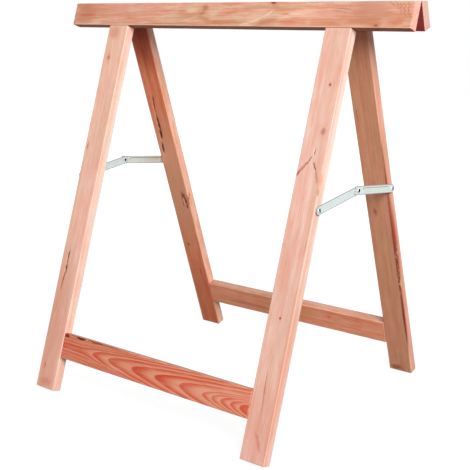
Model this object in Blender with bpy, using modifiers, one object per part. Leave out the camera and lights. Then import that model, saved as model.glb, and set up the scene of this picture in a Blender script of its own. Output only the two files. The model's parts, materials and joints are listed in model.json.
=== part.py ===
# Folding work trestle: two timber frames hinged along the ridge, each a ridge rail, two legs and
# a lower rail, held open by a folding steel stay at each end.
#
# X runs along the ridge, -Y is the front, Z is up, and the origin is on the floor under the middle.
# Both frames share one hinge axis. In a frame's own axes, distance "out" is measured square to its
# boards, away from the other frame, and "up" runs up the legs, with zero on the hinge axis.
import math

import bmesh
import bpy
from mathutils import Matrix, Vector

# Timber
RIDGE_LENGTH = 0.775
BOARD_THICKNESS = 0.020
RIDGE_RAIL_HEIGHT = 0.052
LEG_WIDTH = 0.050
LEG_LENGTH = 0.740
RIDGE_OVERHANG = 0.108
LOWER_RAIL_HEIGHT = 0.050
LOWER_RAIL_LIFT = 0.067
ARRIS_RADIUS = 0.0014

# Stance: the angle between each frame and the vertical when the trestle stands open
OPEN_ANGLE = math.radians(18.8)

# Glued dowels in the butt joints
DOWEL_DIAMETER = 0.008
DOWEL_LENGTH = 0.044
DOWEL_CHAMFER = 0.0008
DOWEL_EDGE = 0.0125

# Hinges
HINGE_LENGTH = 0.060
HINGE_TO_LEG = 0.030
LEAF_WIDTH = 0.026
LEAF_THICKNESS = 0.0009
LEAF_CORNER = 0.003
KNUCKLE_WALL = 0.00125
KNUCKLE_COUNT = 5
KNUCKLE_TO_TOP = 0.0006
PIN_RADIUS = 0.00125
PIN_CHAMFER = 0.0005
SHUT_LEAF_GAP = 0.0003
HINGE_SCREW_COUNT = 3
HINGE_SCREW_EDGE = 0.009
HINGE_SCREW_STAGGER = 0.005
HINGE_SCREW_RADIUS = 0.0014
HINGE_SCREW_SINK = 0.0014
HINGE_SCREW_COVER = 0.0070
HINGE_RECESS_DEPTH = 0.0010

# Stays
STAY_DROP = 0.357
STAY_RISE = 0.0149
ARM_WIDTH = 0.016
ARM_THICKNESS = 0.0012
ARM_LAYER_GAP = 0.0005
TAIL_CORNER = 0.002
STOP_START = 0.0020
STOP_LENGTH = 0.0060
STOP_TO_END = 0.0010
STOP_THICKNESS = 0.0012
STOP_INSET = 0.0002
RIB_WIDTH = 0.0095
RIB_HEIGHT = 0.0010
RIB_WALL = 0.0009
RIB_SLOPE = 0.0007
RIB_TO_WASHER = 0.0070
WASHER_RIM = 0.0044
WASHER_THICKNESS = 0.0008
STAY_SCREW_RADIUS = 0.0023
STAY_SCREW_COVER = 0.020
STAY_SCREW_HEAD_LIP = 0.0025
STAY_SCREW_HEAD_HEIGHT = 0.0016
STAY_RECESS_DEPTH = 0.0013
RIVET_RADIUS = 0.0024
RIVET_HEAD_LIP = 0.0022
RIVET_HEAD_HEIGHT = 0.0014
RIVET_TAIL_LIP = 0.0016
RIVET_TO_LEG = 0.0007

# Screws: the cross recess as shares of the head's radius, and the point as a count of shank radii
RECESS_REACH = 0.52
RECESS_WIDTH = 0.31
POINT_TAPER = 2.5

# Clearances
SEAT_GAP = 0.0003
RIDGE_TOP_GAP = 0.0004
RIVET_MEETING_GAP = 0.0003
NOTCH_CLEARANCE = 0.0004

# Facets
DOWEL_SIDES = 12
SCREW_SIDES = 12
ROUND_SIDES = 20
ARM_END_FACETS = 10
RIB_END_FACETS = 6
CORNER_FACETS = 3
ARRIS_FACETS = 2
DOME_ANGLES = (67.5, 45.0, 22.5, 0.0)
SMOOTH_ANGLE = math.radians(35)
MERGE_DISTANCE = 0.00001
CUT_MARGIN = 0.004

# The axis sits just under the ridge, so that the knuckles stay below the board that rests there.
# The boards stand off it by what the two leaves need between them when the trestle is shut, or by
# what the ridge rails' top corners need between them when it is open, whichever is more.
KNUCKLE_RADIUS = PIN_RADIUS + SEAT_GAP + KNUCKLE_WALL
AXIS_TO_TOP = KNUCKLE_RADIUS + KNUCKLE_TO_TOP
SHUT_STAND_OFF = SHUT_LEAF_GAP / 2 + LEAF_THICKNESS + SEAT_GAP
OPEN_STAND_OFF = AXIS_TO_TOP * math.sin(OPEN_ANGLE) + RIDGE_TOP_GAP / 2 * math.cos(OPEN_ANGLE)
BOARD_INNER = max(SHUT_STAND_OFF, OPEN_STAND_OFF)
BOARD_OUTER = BOARD_INNER + BOARD_THICKNESS
BOARD_MIDDLE = (BOARD_INNER + BOARD_OUTER) / 2
LEAF_OUTER = BOARD_INNER - SEAT_GAP
LEAF_INNER = LEAF_OUTER - LEAF_THICKNESS
LEAF_TOP = -(KNUCKLE_RADIUS + NOTCH_CLEARANCE)
HINGE_SCREW_LENGTH = BOARD_OUTER - HINGE_SCREW_COVER - LEAF_INNER
HINGE_SCREW_HEAD_RADIUS = HINGE_SCREW_RADIUS + HINGE_SCREW_SINK

# Heights up the frame from the hinge axis
RIDGE_TOP_INNER = (AXIS_TO_TOP - BOARD_INNER * math.sin(OPEN_ANGLE)) / math.cos(OPEN_ANGLE)
RIDGE_BOTTOM = RIDGE_TOP_INNER - RIDGE_RAIL_HEIGHT
LEG_TOP = RIDGE_BOTTOM - SEAT_GAP
LEG_FOOT = LEG_TOP - LEG_LENGTH
LOWER_RAIL_BOTTOM = LEG_FOOT + LOWER_RAIL_LIFT
LOWER_RAIL_MIDDLE = LOWER_RAIL_BOTTOM + LOWER_RAIL_HEIGHT / 2

# The inner edge of each foot is the lowest point of the leaning leg, and stands on the floor
AXIS_HEIGHT = -(LEG_FOOT * math.cos(OPEN_ANGLE) + BOARD_INNER * math.sin(OPEN_ANGLE))

# Places along the ridge
LEG_OUTER_X = RIDGE_LENGTH / 2 - RIDGE_OVERHANG
LEG_INNER_X = LEG_OUTER_X - LEG_WIDTH
LEG_MIDDLE_X = LEG_OUTER_X - LEG_WIDTH / 2
HINGE_X = LEG_INNER_X - HINGE_TO_LEG - HINGE_LENGTH / 2
HINGE_SCREW_SPACING = (HINGE_LENGTH - 2 * HINGE_SCREW_EDGE) / (HINGE_SCREW_COUNT - 1)

# Stay layers, outwards from the side of the leg
FRONT_ARM_INNER = WASHER_THICKNESS + 2 * SEAT_GAP
FRONT_ARM_OUTER = FRONT_ARM_INNER + ARM_THICKNESS
BACK_ARM_INNER = FRONT_ARM_OUTER + ARM_LAYER_GAP
BACK_ARM_OUTER = BACK_ARM_INNER + ARM_THICKNESS
SPACER_THICKNESS = BACK_ARM_INNER - 2 * SEAT_GAP

# Stay triangle: half the spread at the screws, and the arm that reaches from there to the rivet
SCREW_SPREAD = BOARD_MIDDLE * math.cos(OPEN_ANGLE) + STAY_DROP * math.sin(OPEN_ANGLE)
ARM_LENGTH = math.hypot(SCREW_SPREAD, STAY_RISE)
ARM_ANGLE = math.atan2(STAY_RISE, SCREW_SPREAD)
ARM_HOLE_RADIUS = STAY_SCREW_RADIUS + SEAT_GAP
RIVET_HOLE_RADIUS = RIVET_RADIUS + SEAT_GAP
WASHER_RADIUS = ARM_HOLE_RADIUS + WASHER_RIM
RIB_END_MARGIN = WASHER_RADIUS + RIB_TO_WASHER
TAIL_LENGTH = STOP_START + STOP_LENGTH + STOP_TO_END
STAY_SCREW_BITE = LEG_WIDTH - STAY_SCREW_COVER

FRONT, BACK = -1, 1
LEFT, RIGHT = -1, 1
ALONG_RIDGE, UP_LEG = Vector((1, 0, 0)), Vector((0, 0, 1))
FRAME_WORD = {FRONT: "front", BACK: "back"}
SIDE_WORD = {LEFT: "left", RIGHT: "right"}
ARM_LAYER = {FRONT: (FRONT_ARM_INNER, FRONT_ARM_OUTER), BACK: (BACK_ARM_INNER, BACK_ARM_OUTER)}


def clear_scene():
    for obj in list(bpy.data.objects):
        bpy.data.objects.remove(obj, do_unlink=True)


def new_collection(name):
    collection = bpy.data.collections.new(name)
    bpy.context.scene.collection.children.link(collection)
    return collection


def new_material(name, colour, roughness, metallic):
    material = bpy.data.materials.new(name)
    material.use_nodes = True
    shader = material.node_tree.nodes["Principled BSDF"]
    shader.inputs["Base Color"].default_value = (*colour, 1.0)
    shader.inputs["Roughness"].default_value = roughness
    shader.inputs["Metallic"].default_value = metallic
    material.diffuse_color = (*colour, 1.0)
    return material


def add_object(name, mesh, collection, parent=None, material=None):
    obj = bpy.data.objects.new(name, mesh)
    collection.objects.link(obj)
    obj.parent = parent
    if material and not mesh.materials:
        mesh.materials.append(material)
    return obj


def add_cutter(name, mesh, parent=None):
    obj = add_object(name, mesh, cutters, parent)
    obj.hide_render = True
    obj.display_type = "WIRE"
    return obj


def mesh_from(bm, name):
    mesh = bpy.data.meshes.new(name)
    bm.normal_update()
    bm.to_mesh(mesh)
    bm.free()
    return mesh


def evaluated_mesh(obj):
    """Plain mesh of an object with its modifiers; the object itself is removed."""
    depsgraph = bpy.context.evaluated_depsgraph_get()
    mesh = bpy.data.meshes.new_from_object(obj.evaluated_get(depsgraph))
    bpy.data.objects.remove(obj, do_unlink=True)
    return mesh


def carved_mesh(mesh, tools):
    """The mesh with each tool mesh joined to it or cut from it, worked out in the mesh's own axes."""
    blank = add_cutter("blank", mesh)
    helpers = [add_cutter("tool_%d" % index, tool) for index, (tool, operation) in enumerate(tools)]
    for helper, (tool, operation) in zip(helpers, tools):
        cut(blank, helper, operation)
    bpy.context.view_layer.update()
    result = evaluated_mesh(blank)
    for helper in helpers:
        bpy.data.objects.remove(helper, do_unlink=True)
    return result


def shade_round(mesh):
    mesh.shade_smooth()
    mesh.set_sharp_from_angle(angle=SMOOTH_ANGLE)


def place_mesh(mesh, matrix):
    """Moves a mesh, and keeps its faces outwards where the matrix mirrors it."""
    mesh.transform(matrix)
    if matrix.determinant() < 0:
        mesh.flip_normals()


def cut(obj, cutter, operation="DIFFERENCE"):
    modifier = obj.modifiers.new(cutter.name, "BOOLEAN")
    modifier.operation = operation
    modifier.solver = "EXACT"
    modifier.object = cutter


def add_copies(stem, mesh, places, parent, material):
    """One object for each place, all sharing the mesh. Places are keyed by the end of the name."""
    for word, place in places.items():
        obj = add_object(stem % word, mesh, parts, parent, material)
        obj.matrix_local = place


def cutter_copies(name, mesh, places, parent):
    """One cutter that holds a copy of the mesh at each place."""
    bm = bmesh.new()
    for place in places.values():
        copy = mesh.copy()
        copy.transform(place)
        bm.from_mesh(copy)
        bpy.data.meshes.remove(copy)
    return add_cutter(name, mesh_from(bm, name), parent)


def box_mesh(low, high, name):
    low, high = Vector(low), Vector(high)
    bm = bmesh.new()
    place = Matrix.Translation((low + high) / 2) @ Matrix.Diagonal((high - low).to_4d())
    bmesh.ops.create_cube(bm, size=1.0, matrix=place)
    return mesh_from(bm, name)


def rod_mesh(radius, length, sides, name):
    """Round bar along local Z, centred on the origin."""
    bm = bmesh.new()
    bmesh.ops.create_cone(bm, cap_ends=True, segments=sides, radius1=radius, radius2=radius, depth=length)
    return mesh_from(bm, name)


def turned_mesh(profile, sides, name):
    """Solid turned about local Z from (radius, height) points, running from the top to the bottom."""
    bm = bmesh.new()
    points = [bm.verts.new((radius, 0.0, height)) for radius, height in profile]
    for first, second in zip(points, points[1:]):
        bm.edges.new((first, second))
    obj = add_cutter(name, mesh_from(bm, name))
    screw = obj.modifiers.new("Turn", "SCREW")
    screw.steps = sides
    screw.render_steps = sides
    screw.use_merge_vertices = True
    screw.merge_threshold = MERGE_DISTANCE
    mesh = evaluated_mesh(obj)
    shade_round(mesh)
    return mesh


def outline_mesh(points, low, high, name, holes=()):
    """Flat outline in local XY, filled but for its holes, and thick from low to high along local Z."""
    curve = bpy.data.curves.new(name, "CURVE")
    curve.dimensions = "2D"
    curve.fill_mode = "BOTH"
    curve.extrude = (high - low) / 2
    for ring in (points, *holes):
        spline = curve.splines.new("POLY")
        spline.points.add(len(ring) - 1)
        for spline_point, (x, y) in zip(spline.points, ring):
            spline_point.co = (x, y, 0.0, 1.0)
        spline.use_cyclic_u = True
    mesh = evaluated_mesh(add_cutter(name, curve))
    mesh.transform(Matrix.Translation((0.0, 0.0, (low + high) / 2)))
    bm = bmesh.new()
    bm.from_mesh(mesh)
    bmesh.ops.remove_doubles(bm, verts=bm.verts, dist=MERGE_DISTANCE)
    bmesh.ops.recalc_face_normals(bm, faces=bm.faces)
    bm.to_mesh(mesh)
    bm.free()
    return mesh


def arc_points(centre, radius, start, end, facets):
    """Points on an arc, with angles in degrees, both ends included."""
    angles = [math.radians(start + (end - start) * i / facets) for i in range(facets + 1)]
    return [(centre[0] + radius * math.cos(a), centre[1] + radius * math.sin(a)) for a in angles]


def circle_points(centre, radius):
    return arc_points(centre, radius, 0, 360, ROUND_SIDES)[:-1]


def slot_points(first, second, radius, facets):
    """Outline of a strap with round ends, lying along local X between two centres."""
    far_end = arc_points((second, 0), radius, -90, 90, facets)
    return far_end + arc_points((first, 0), radius, 90, 270, facets)


def dome_points(radius, height, seat):
    """Profile of a domed head, from its crown down to the rim of its seat."""
    angles = [math.radians(a) for a in DOME_ANGLES]
    return [(0.0, seat + height)] + [(radius * math.cos(a), seat + height * math.sin(a)) for a in angles]


def along_x(side=RIGHT):
    """Turns a shape made about local Z so that it lies along X, pointing away from the middle."""
    return Matrix.Rotation(side * math.pi / 2, 4, "Y")


def add_frame_axis(frame):
    """Empty on the hinge axis, turned so that its Z runs up the frame."""
    axis = bpy.data.objects.new(FRAME_WORD[frame] + "_frame_axis", None)
    parts.objects.link(axis)
    axis.location = (0.0, 0.0, AXIS_HEIGHT)
    axis.rotation_euler = (frame * OPEN_ANGLE, 0.0, 0.0)
    return axis


def board_mesh(name, frame, low_x, high_x, low_up, high_up):
    """Square-edged board of the common thickness, in its frame's axes."""
    out_low, out_high = sorted((frame * BOARD_INNER, frame * BOARD_OUTER))
    return box_mesh((low_x, out_low, low_up), (high_x, out_high, high_up), name)


def timber(name, frame, mesh, grain):
    """Board with its arrises along the grain eased."""
    bm = bmesh.new()
    bm.from_mesh(mesh)
    weight = bm.edges.layers.float.new("bevel_weight_edge")
    for edge in bm.edges:
        run = (edge.verts[1].co - edge.verts[0].co).normalized()
        edge[weight] = 1.0 if abs(run.dot(grain)) > 0.999 else 0.0
    bm.to_mesh(mesh)
    bm.free()
    obj = add_object(name, mesh, parts, frame_axes[frame], larch)
    bevel = obj.modifiers.new("Arrises", "BEVEL")
    bevel.limit_method = "WEIGHT"
    bevel.width = ARRIS_RADIUS
    bevel.segments = ARRIS_FACETS
    return obj


def plane_level(mesh, frame):
    """Planes a ridge rail's top, so that it lies level at the open stance."""
    level = Vector((0.0, frame * math.sin(OPEN_ANGLE), math.cos(OPEN_ANGLE)))
    bm = bmesh.new()
    bm.from_mesh(mesh)
    everything = list(bm.verts) + list(bm.edges) + list(bm.faces)
    top = level * AXIS_TO_TOP
    bmesh.ops.bisect_plane(bm, geom=everything, plane_co=top, plane_no=level, clear_outer=True)
    bmesh.ops.holes_fill(bm, edges=[edge for edge in bm.edges if edge.is_boundary])
    bmesh.ops.recalc_face_normals(bm, faces=bm.faces)
    bm.to_mesh(mesh)
    bm.free()


def ridge_rail(frame):
    """Plank on edge, notched for the hinges' knuckles."""
    name = FRAME_WORD[frame] + "_ridge_rail"
    half = RIDGE_LENGTH / 2
    mesh = board_mesh(name, frame, -half, half, RIDGE_BOTTOM, RIDGE_TOP_INNER + CUT_MARGIN)
    plane_level(mesh, frame)
    rail = timber(name, frame, mesh, ALONG_RIDGE)
    cut(rail, knuckle_notches[frame])
    cut(rail, leg_dowel_holes[frame])
    cut(rail, hinge_screw_holes[frame])


def leg(frame, side):
    low_x, high_x = sorted((side * LEG_INNER_X, side * LEG_OUTER_X))
    name = FRAME_WORD[frame] + "_" + SIDE_WORD[side] + "_leg"
    obj = timber(name, frame, board_mesh(name, frame, low_x, high_x, LEG_FOOT, LEG_TOP), UP_LEG)
    cut(obj, leg_dowel_holes[frame])
    cut(obj, rail_dowel_holes[frame])
    cut(obj, stay_screw_holes[frame])


def lower_rail(frame):
    name = FRAME_WORD[frame] + "_lower_rail"
    half = LEG_INNER_X - SEAT_GAP
    top = LOWER_RAIL_BOTTOM + LOWER_RAIL_HEIGHT
    mesh = board_mesh(name, frame, -half, half, LOWER_RAIL_BOTTOM, top)
    cut(timber(name, frame, mesh, ALONG_RIDGE), rail_dowel_holes[frame])


def leg_dowel_places(frame):
    """Dowels up through the joint between each leg and the ridge rail."""
    middle = (RIDGE_BOTTOM + LEG_TOP) / 2
    spacing = LEG_WIDTH - 2 * DOWEL_EDGE
    return {
        (SIDE_WORD[side], number): Matrix.Translation(
            (side * LEG_MIDDLE_X + (number - 1.5) * spacing, frame * BOARD_MIDDLE, middle)
        )
        for side in (LEFT, RIGHT)
        for number in (1, 2)
    }


def rail_dowel_places(frame):
    """Dowels along X through the joint between each leg and the lower rail."""
    middle = LEG_INNER_X - SEAT_GAP / 2
    spacing = LOWER_RAIL_HEIGHT - 2 * DOWEL_EDGE
    return {
        (SIDE_WORD[side], number): Matrix.Translation(
            (side * middle, frame * BOARD_MIDDLE, LOWER_RAIL_MIDDLE + (number - 1.5) * spacing)
        )
        @ along_x()
        for side in (LEFT, RIGHT)
        for number in (1, 2)
    }


def chamfered_rod(radius, length, chamfer, sides, name):
    """Round bar along local Z with both ends chamfered."""
    half = length / 2
    profile = [(0, half), (radius - chamfer, half), (radius, half - chamfer)]
    profile += [(r, -h) for r, h in reversed(profile)]
    return turned_mesh(profile, sides, name)


def dowel_holes(frame, places, name):
    hole = rod_mesh(DOWEL_DIAMETER / 2, DOWEL_LENGTH + 2 * SEAT_GAP, DOWEL_SIDES, name)
    return cutter_copies(name, hole, places, frame_axes[frame])


def make_knuckle_notches(frame):
    """Round-bottomed slot in the top inner corner of the ridge rail, open above, for each hinge."""
    radius = KNUCKLE_RADIUS + NOTCH_CLEARANCE
    top = AXIS_TO_TOP + CUT_MARGIN
    outline = [(radius, top), (-radius, top)] + arc_points((0, 0), radius, 180, 360, ROUND_SIDES // 2)
    half = HINGE_LENGTH / 2 + NOTCH_CLEARANCE
    notch = outline_mesh(outline, -half, half, "knuckle_notch")
    notch.transform(Matrix(((0, 0, 1, 0), (1, 0, 0, 0), (0, 1, 0, 0), (0, 0, 0, 1))))
    places = {side: Matrix.Translation((side * HINGE_X, 0.0, 0.0)) for side in (LEFT, RIGHT)}
    return cutter_copies(FRAME_WORD[frame] + "_knuckle_notches", notch, places, frame_axes[frame])


def hinge_screw_places(frame, sides):
    """Each screw points outwards into the board, with its head on the leaf's inner face."""
    turn = Matrix.Rotation(frame * math.pi / 2, 4, "X")
    middle = (HINGE_SCREW_COUNT + 1) / 2
    places = {}
    for side in sides:
        for number in range(1, HINGE_SCREW_COUNT + 1):
            stagger = HINGE_SCREW_STAGGER / 2 * (-1 if number % 2 else 1)
            down = (KNUCKLE_RADIUS + LEAF_WIDTH) / 2 + stagger
            x = side * HINGE_X + (number - middle) * HINGE_SCREW_SPACING
            place = Matrix.Translation((x, frame * LEAF_INNER, -down)) @ turn
            places[SIDE_WORD[side], FRAME_WORD[frame], number] = place
    return places


def hinge_screw_mesh():
    """Countersunk screw, its head's flat face at Z = 0 and its point below."""
    head, shank, length = HINGE_SCREW_HEAD_RADIUS, HINGE_SCREW_RADIUS, HINGE_SCREW_LENGTH
    profile = [(0, 0), (head, 0), (shank, -HINGE_SCREW_SINK)]
    profile += [(shank, -length + POINT_TAPER * shank), (0, -length)]
    mesh = turned_mesh(profile, SCREW_SIDES, "hinge_screw")
    return with_cross_recess(mesh, head, 0.0, HINGE_RECESS_DEPTH)


def hinge_screw_hole_mesh():
    """Hole for the same screw: a countersink that opens past the head, over a straight bore."""
    head, shank = HINGE_SCREW_HEAD_RADIUS + SEAT_GAP, HINGE_SCREW_RADIUS + SEAT_GAP
    length = HINGE_SCREW_LENGTH + SEAT_GAP
    profile = [(0, CUT_MARGIN), (head, CUT_MARGIN), (head, 0), (shank, -HINGE_SCREW_SINK)]
    profile += [(shank, -length), (0, -length)]
    return turned_mesh(profile, SCREW_SIDES, "hinge_screw_hole")


def with_cross_recess(mesh, head, top, depth):
    """Cuts a cross into a screw's head of the given radius, whose top is at the given height."""
    reach, half_width = head * RECESS_REACH, head * RECESS_WIDTH / 2
    slots = []
    for turn in (0.0, math.pi / 2):
        slot = box_mesh((-reach, -half_width, top - depth), (reach, half_width, top + CUT_MARGIN), "recess")
        slot.transform(Matrix.Rotation(turn, 4, "Z"))
        slots.append((slot, "DIFFERENCE"))
    result = carved_mesh(mesh, slots)
    shade_round(result)
    return result


def make_hinge_screw_holes(frame, sides, stem):
    places = hinge_screw_places(frame, sides)
    return cutter_copies(stem + "_screw_holes", hinge_screw_hole_mesh(), places, frame_axes[frame])


def hinge_leaf(frame, side):
    """Leaf on the inner face of a ridge rail, with its share of the knuckles rolled round the pin."""
    name = SIDE_WORD[side] + "_hinge_" + FRAME_WORD[frame] + "_leaf"
    out_low, out_high = sorted((frame * LEAF_INNER, frame * LEAF_OUTER))
    plate = outline_mesh(leaf_outline(), out_low, out_high, name)
    place_mesh(plate, Matrix(((1, 0, 0, side * HINGE_X), (0, 0, 1, 0), (0, 1, 0, 0), (0, 0, 0, 1))))
    leaf = add_object(name, plate, parts, frame_axes[frame], zinc_plate)
    for index, (low_x, high_x) in enumerate(knuckle_spans(frame, side)):
        word = "%s_knuckle_%d" % (name, index)
        strap_low = (low_x, out_low, LEAF_TOP - LEAF_THICKNESS)
        strap = box_mesh(strap_low, (high_x, out_high, 0.0), word + "_strap")
        cut(leaf, add_cutter(word + "_strap", strap, frame_axes[frame]), "UNION")
        barrel = rod_mesh(KNUCKLE_RADIUS, high_x - low_x, ROUND_SIDES, word)
        barrel.transform(Matrix.Translation(((low_x + high_x) / 2, 0.0, 0.0)) @ along_x())
        cut(leaf, add_cutter(word, barrel, frame_axes[frame]), "UNION")
    bore = rod_mesh(PIN_RADIUS + SEAT_GAP, HINGE_LENGTH + CUT_MARGIN, ROUND_SIDES, name + "_bore")
    bore.transform(Matrix.Translation((side * HINGE_X, 0.0, 0.0)) @ along_x())
    cut(leaf, add_cutter(name + "_bore", bore, frame_axes[frame]))
    cut(leaf, make_hinge_screw_holes(frame, [side], name))


def knuckle_spans(frame, side):
    """Low and high X of each knuckle of one leaf, with a clearance between neighbours."""
    pitch = HINGE_LENGTH / KNUCKLE_COUNT
    start = side * HINGE_X - HINGE_LENGTH / 2
    spans = []
    for index in range(0 if frame == FRONT else 1, KNUCKLE_COUNT, 2):
        low = start + index * pitch + (SEAT_GAP / 2 if index > 0 else 0.0)
        high = start + (index + 1) * pitch - (SEAT_GAP / 2 if index < KNUCKLE_COUNT - 1 else 0.0)
        spans.append((low, high))
    return spans


def leaf_outline():
    """Plate with square upper corners and rounded lower ones."""
    half, bottom, corner = HINGE_LENGTH / 2, -LEAF_WIDTH, LEAF_CORNER
    outline = [(half, LEAF_TOP), (-half, LEAF_TOP)]
    outline += arc_points((-half + corner, bottom + corner), corner, 180, 270, CORNER_FACETS)
    outline += arc_points((half - corner, bottom + corner), corner, 270, 360, CORNER_FACETS)
    return outline


def hinge_pin(side):
    name = SIDE_WORD[side] + "_hinge_pin"
    mesh = chamfered_rod(PIN_RADIUS, HINGE_LENGTH, PIN_CHAMFER, SCREW_SIDES, name)
    mesh.transform(Matrix.Translation((side * HINGE_X, 0.0, 0.0)) @ along_x())
    add_object(name, mesh, parts, frame_axes[FRONT], zinc_plate)


def stay_screw_places(frame, outwards):
    """Along X into the side of each leg, with the origin at the given distance from the leg."""
    places = {}
    for side in (LEFT, RIGHT):
        centre = (side * (LEG_OUTER_X + outwards), frame * BOARD_MIDDLE, -STAY_DROP)
        places[SIDE_WORD[side]] = Matrix.Translation(centre) @ along_x(side)
    return places


def stay_screw_mesh(arm_outer):
    """Round-headed screw along local Z, its head's seat at Z = 0, long enough to bite past the arm."""
    shank, head = STAY_SCREW_RADIUS, STAY_SCREW_RADIUS + STAY_SCREW_HEAD_LIP
    length = arm_outer + SEAT_GAP + STAY_SCREW_BITE
    profile = dome_points(head, STAY_SCREW_HEAD_HEIGHT, 0.0)
    profile += [(shank, 0), (shank, -length + POINT_TAPER * shank), (0, -length)]
    mesh = turned_mesh(profile, ROUND_SIDES, "stay_screw")
    return with_cross_recess(mesh, head, STAY_SCREW_HEAD_HEIGHT, STAY_RECESS_DEPTH)


def stay_screws(frame):
    arm_outer = ARM_LAYER[frame][1]
    mesh = stay_screw_mesh(arm_outer)
    places = stay_screw_places(frame, arm_outer + SEAT_GAP)
    add_copies("%s_stay_" + FRAME_WORD[frame] + "_screw", mesh, places, frame_axes[frame], zinc_plate)


def make_stay_screw_holes(frame):
    depth = STAY_SCREW_BITE + SEAT_GAP
    name = FRAME_WORD[frame] + "_stay_screw_holes"
    hole = rod_mesh(ARM_HOLE_RADIUS, depth + CUT_MARGIN, ROUND_SIDES, name)
    hole.transform(Matrix.Translation((0, 0, (CUT_MARGIN - depth) / 2)))
    return cutter_copies(name, hole, stay_screw_places(frame, 0.0), frame_axes[frame])


def stay_washers(frame, thickness, stem):
    hole, rim = ARM_HOLE_RADIUS, WASHER_RADIUS
    profile = [(hole, thickness), (rim, thickness), (rim, 0), (hole, 0), (hole, thickness)]
    ring = turned_mesh(profile, ROUND_SIDES, stem)
    add_copies(stem, ring, stay_screw_places(frame, SEAT_GAP), frame_axes[frame], zinc_plate)


def arm_axis(frame, side):
    """Empty on the screw that the arm swings on, turned so that its Y runs level at the open stance."""
    name = SIDE_WORD[side] + "_stay_" + FRAME_WORD[frame] + "_arm_axis"
    axis = bpy.data.objects.new(name, None)
    parts.objects.link(axis)
    axis.parent = frame_axes[frame]
    axis.location = (side * LEG_OUTER_X, frame * BOARD_MIDDLE, -STAY_DROP)
    axis.rotation_euler = (-frame * (OPEN_ANGLE + ARM_ANGLE), 0.0, 0.0)
    return axis


def arm_place(frame, side):
    """From arm axes (along the arm, across it, outwards) to the axes of its empty."""
    return Matrix(((0, 0, side, 0), (-frame, 0, 0, 0), (0, 1, 0, 0), (0, 0, 0, 1)))


def rib_mesh(width, root, crown):
    """Long panel along the arm, with round ends and with sloped edges at its crown."""
    radius = width / 2
    first = RIB_END_MARGIN + radius
    second = ARM_LENGTH - RIB_END_MARGIN - radius
    mesh = outline_mesh(slot_points(first, second, radius, RIB_END_FACETS), root, crown, "rib")
    bm = bmesh.new()
    bm.from_mesh(mesh)
    rim = [edge for edge in bm.edges if all(abs(v.co.z - crown) < MERGE_DISTANCE for v in edge.verts)]
    rim = [edge for edge in rim if any(abs(face.normal.z) < 0.5 for face in edge.link_faces)]
    bmesh.ops.bevel(bm, geom=rim, offset=RIB_SLOPE, segments=1, affect="EDGES", profile=0.5)
    bm.to_mesh(mesh)
    bm.free()
    return mesh


def pressed_rib(inner, outer):
    """Rib pressed out of the strap, away from the leg, and so hollow on its inner face."""
    raised = rib_mesh(RIB_WIDTH, (inner + outer) / 2, outer + RIB_HEIGHT)
    hollow = rib_mesh(RIB_WIDTH - 2 * RIB_WALL, inner - CUT_MARGIN, inner + RIB_HEIGHT)
    return [(raised, "UNION"), (hollow, "DIFFERENCE")]


def front_arm_outline():
    return slot_points(0.0, ARM_LENGTH, ARM_WIDTH / 2, ARM_END_FACETS)


def back_arm_outline():
    """Round at the screw, and square past the rivet, where the stop is turned over."""
    half = ARM_WIDTH / 2
    end, corner = ARM_LENGTH + TAIL_LENGTH, TAIL_CORNER
    outline = arc_points((0, 0), half, 90, 270, ARM_END_FACETS)
    outline += arc_points((end - corner, -half + corner), corner, -90, 0, CORNER_FACETS)
    outline += arc_points((end - corner, half - corner), corner, 0, 90, CORNER_FACETS)
    return outline


def stay_arm(frame, side):
    name = SIDE_WORD[side] + "_stay_" + FRAME_WORD[frame] + "_arm"
    inner, outer = ARM_LAYER[frame]
    outline = front_arm_outline() if frame == FRONT else back_arm_outline()
    holes = circle_points((0, 0), ARM_HOLE_RADIUS), circle_points((ARM_LENGTH, 0), RIVET_HOLE_RADIUS)
    mesh = outline_mesh(outline, inner, outer, name, holes)
    if frame == BACK:
        mesh = carved_mesh(mesh, [(stop_lug_mesh(), "UNION")] + pressed_rib(inner, outer))
    place_mesh(mesh, arm_place(frame, side))
    add_object(name, mesh, parts, arm_axes[frame, side], zinc_plate)


def stop_lug_mesh():
    """Lug turned over the front arm's top edge, which stops the stay just short of straight."""
    rivet = Matrix.Translation((ARM_LENGTH, 0.0, 0.0))
    front_arm_line = Matrix.Rotation(-2 * ARM_ANGLE, 4, "Z")
    low = ARM_WIDTH / 2 + SEAT_GAP
    far_corner = (STOP_START + STOP_LENGTH, low + STOP_THICKNESS, BACK_ARM_OUTER - STOP_INSET)
    lug = box_mesh((STOP_START, low, FRONT_ARM_INNER), far_corner, "stop_lug")
    lug.transform(rivet @ front_arm_line)
    return lug


def rivet_half(frame, side):
    """The stay's rivet is in two halves that meet between the arms, so each arm carries its own."""
    name = SIDE_WORD[side] + "_stay_rivet_" + ("tail" if frame == FRONT else "head")
    shank = RIVET_RADIUS
    meeting = (FRONT_ARM_OUTER + BACK_ARM_INNER) / 2 + frame * RIVET_MEETING_GAP / 2
    if frame == FRONT:
        seat, tail = FRONT_ARM_INNER - SEAT_GAP, shank + RIVET_TAIL_LIP
        profile = [(0, meeting), (shank, meeting), (shank, seat)]
        profile += [(tail, seat), (tail, RIVET_TO_LEG), (0, RIVET_TO_LEG)]
    else:
        seat = BACK_ARM_OUTER + SEAT_GAP
        profile = dome_points(shank + RIVET_HEAD_LIP, RIVET_HEAD_HEIGHT, seat)
        profile += [(shank, seat), (shank, meeting), (0, meeting)]
    mesh = turned_mesh(profile, ROUND_SIDES, name)
    place_mesh(mesh, arm_place(frame, side) @ Matrix.Translation((ARM_LENGTH, 0.0, 0.0)))
    add_object(name, mesh, parts, arm_axes[frame, side], zinc_plate)


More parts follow.
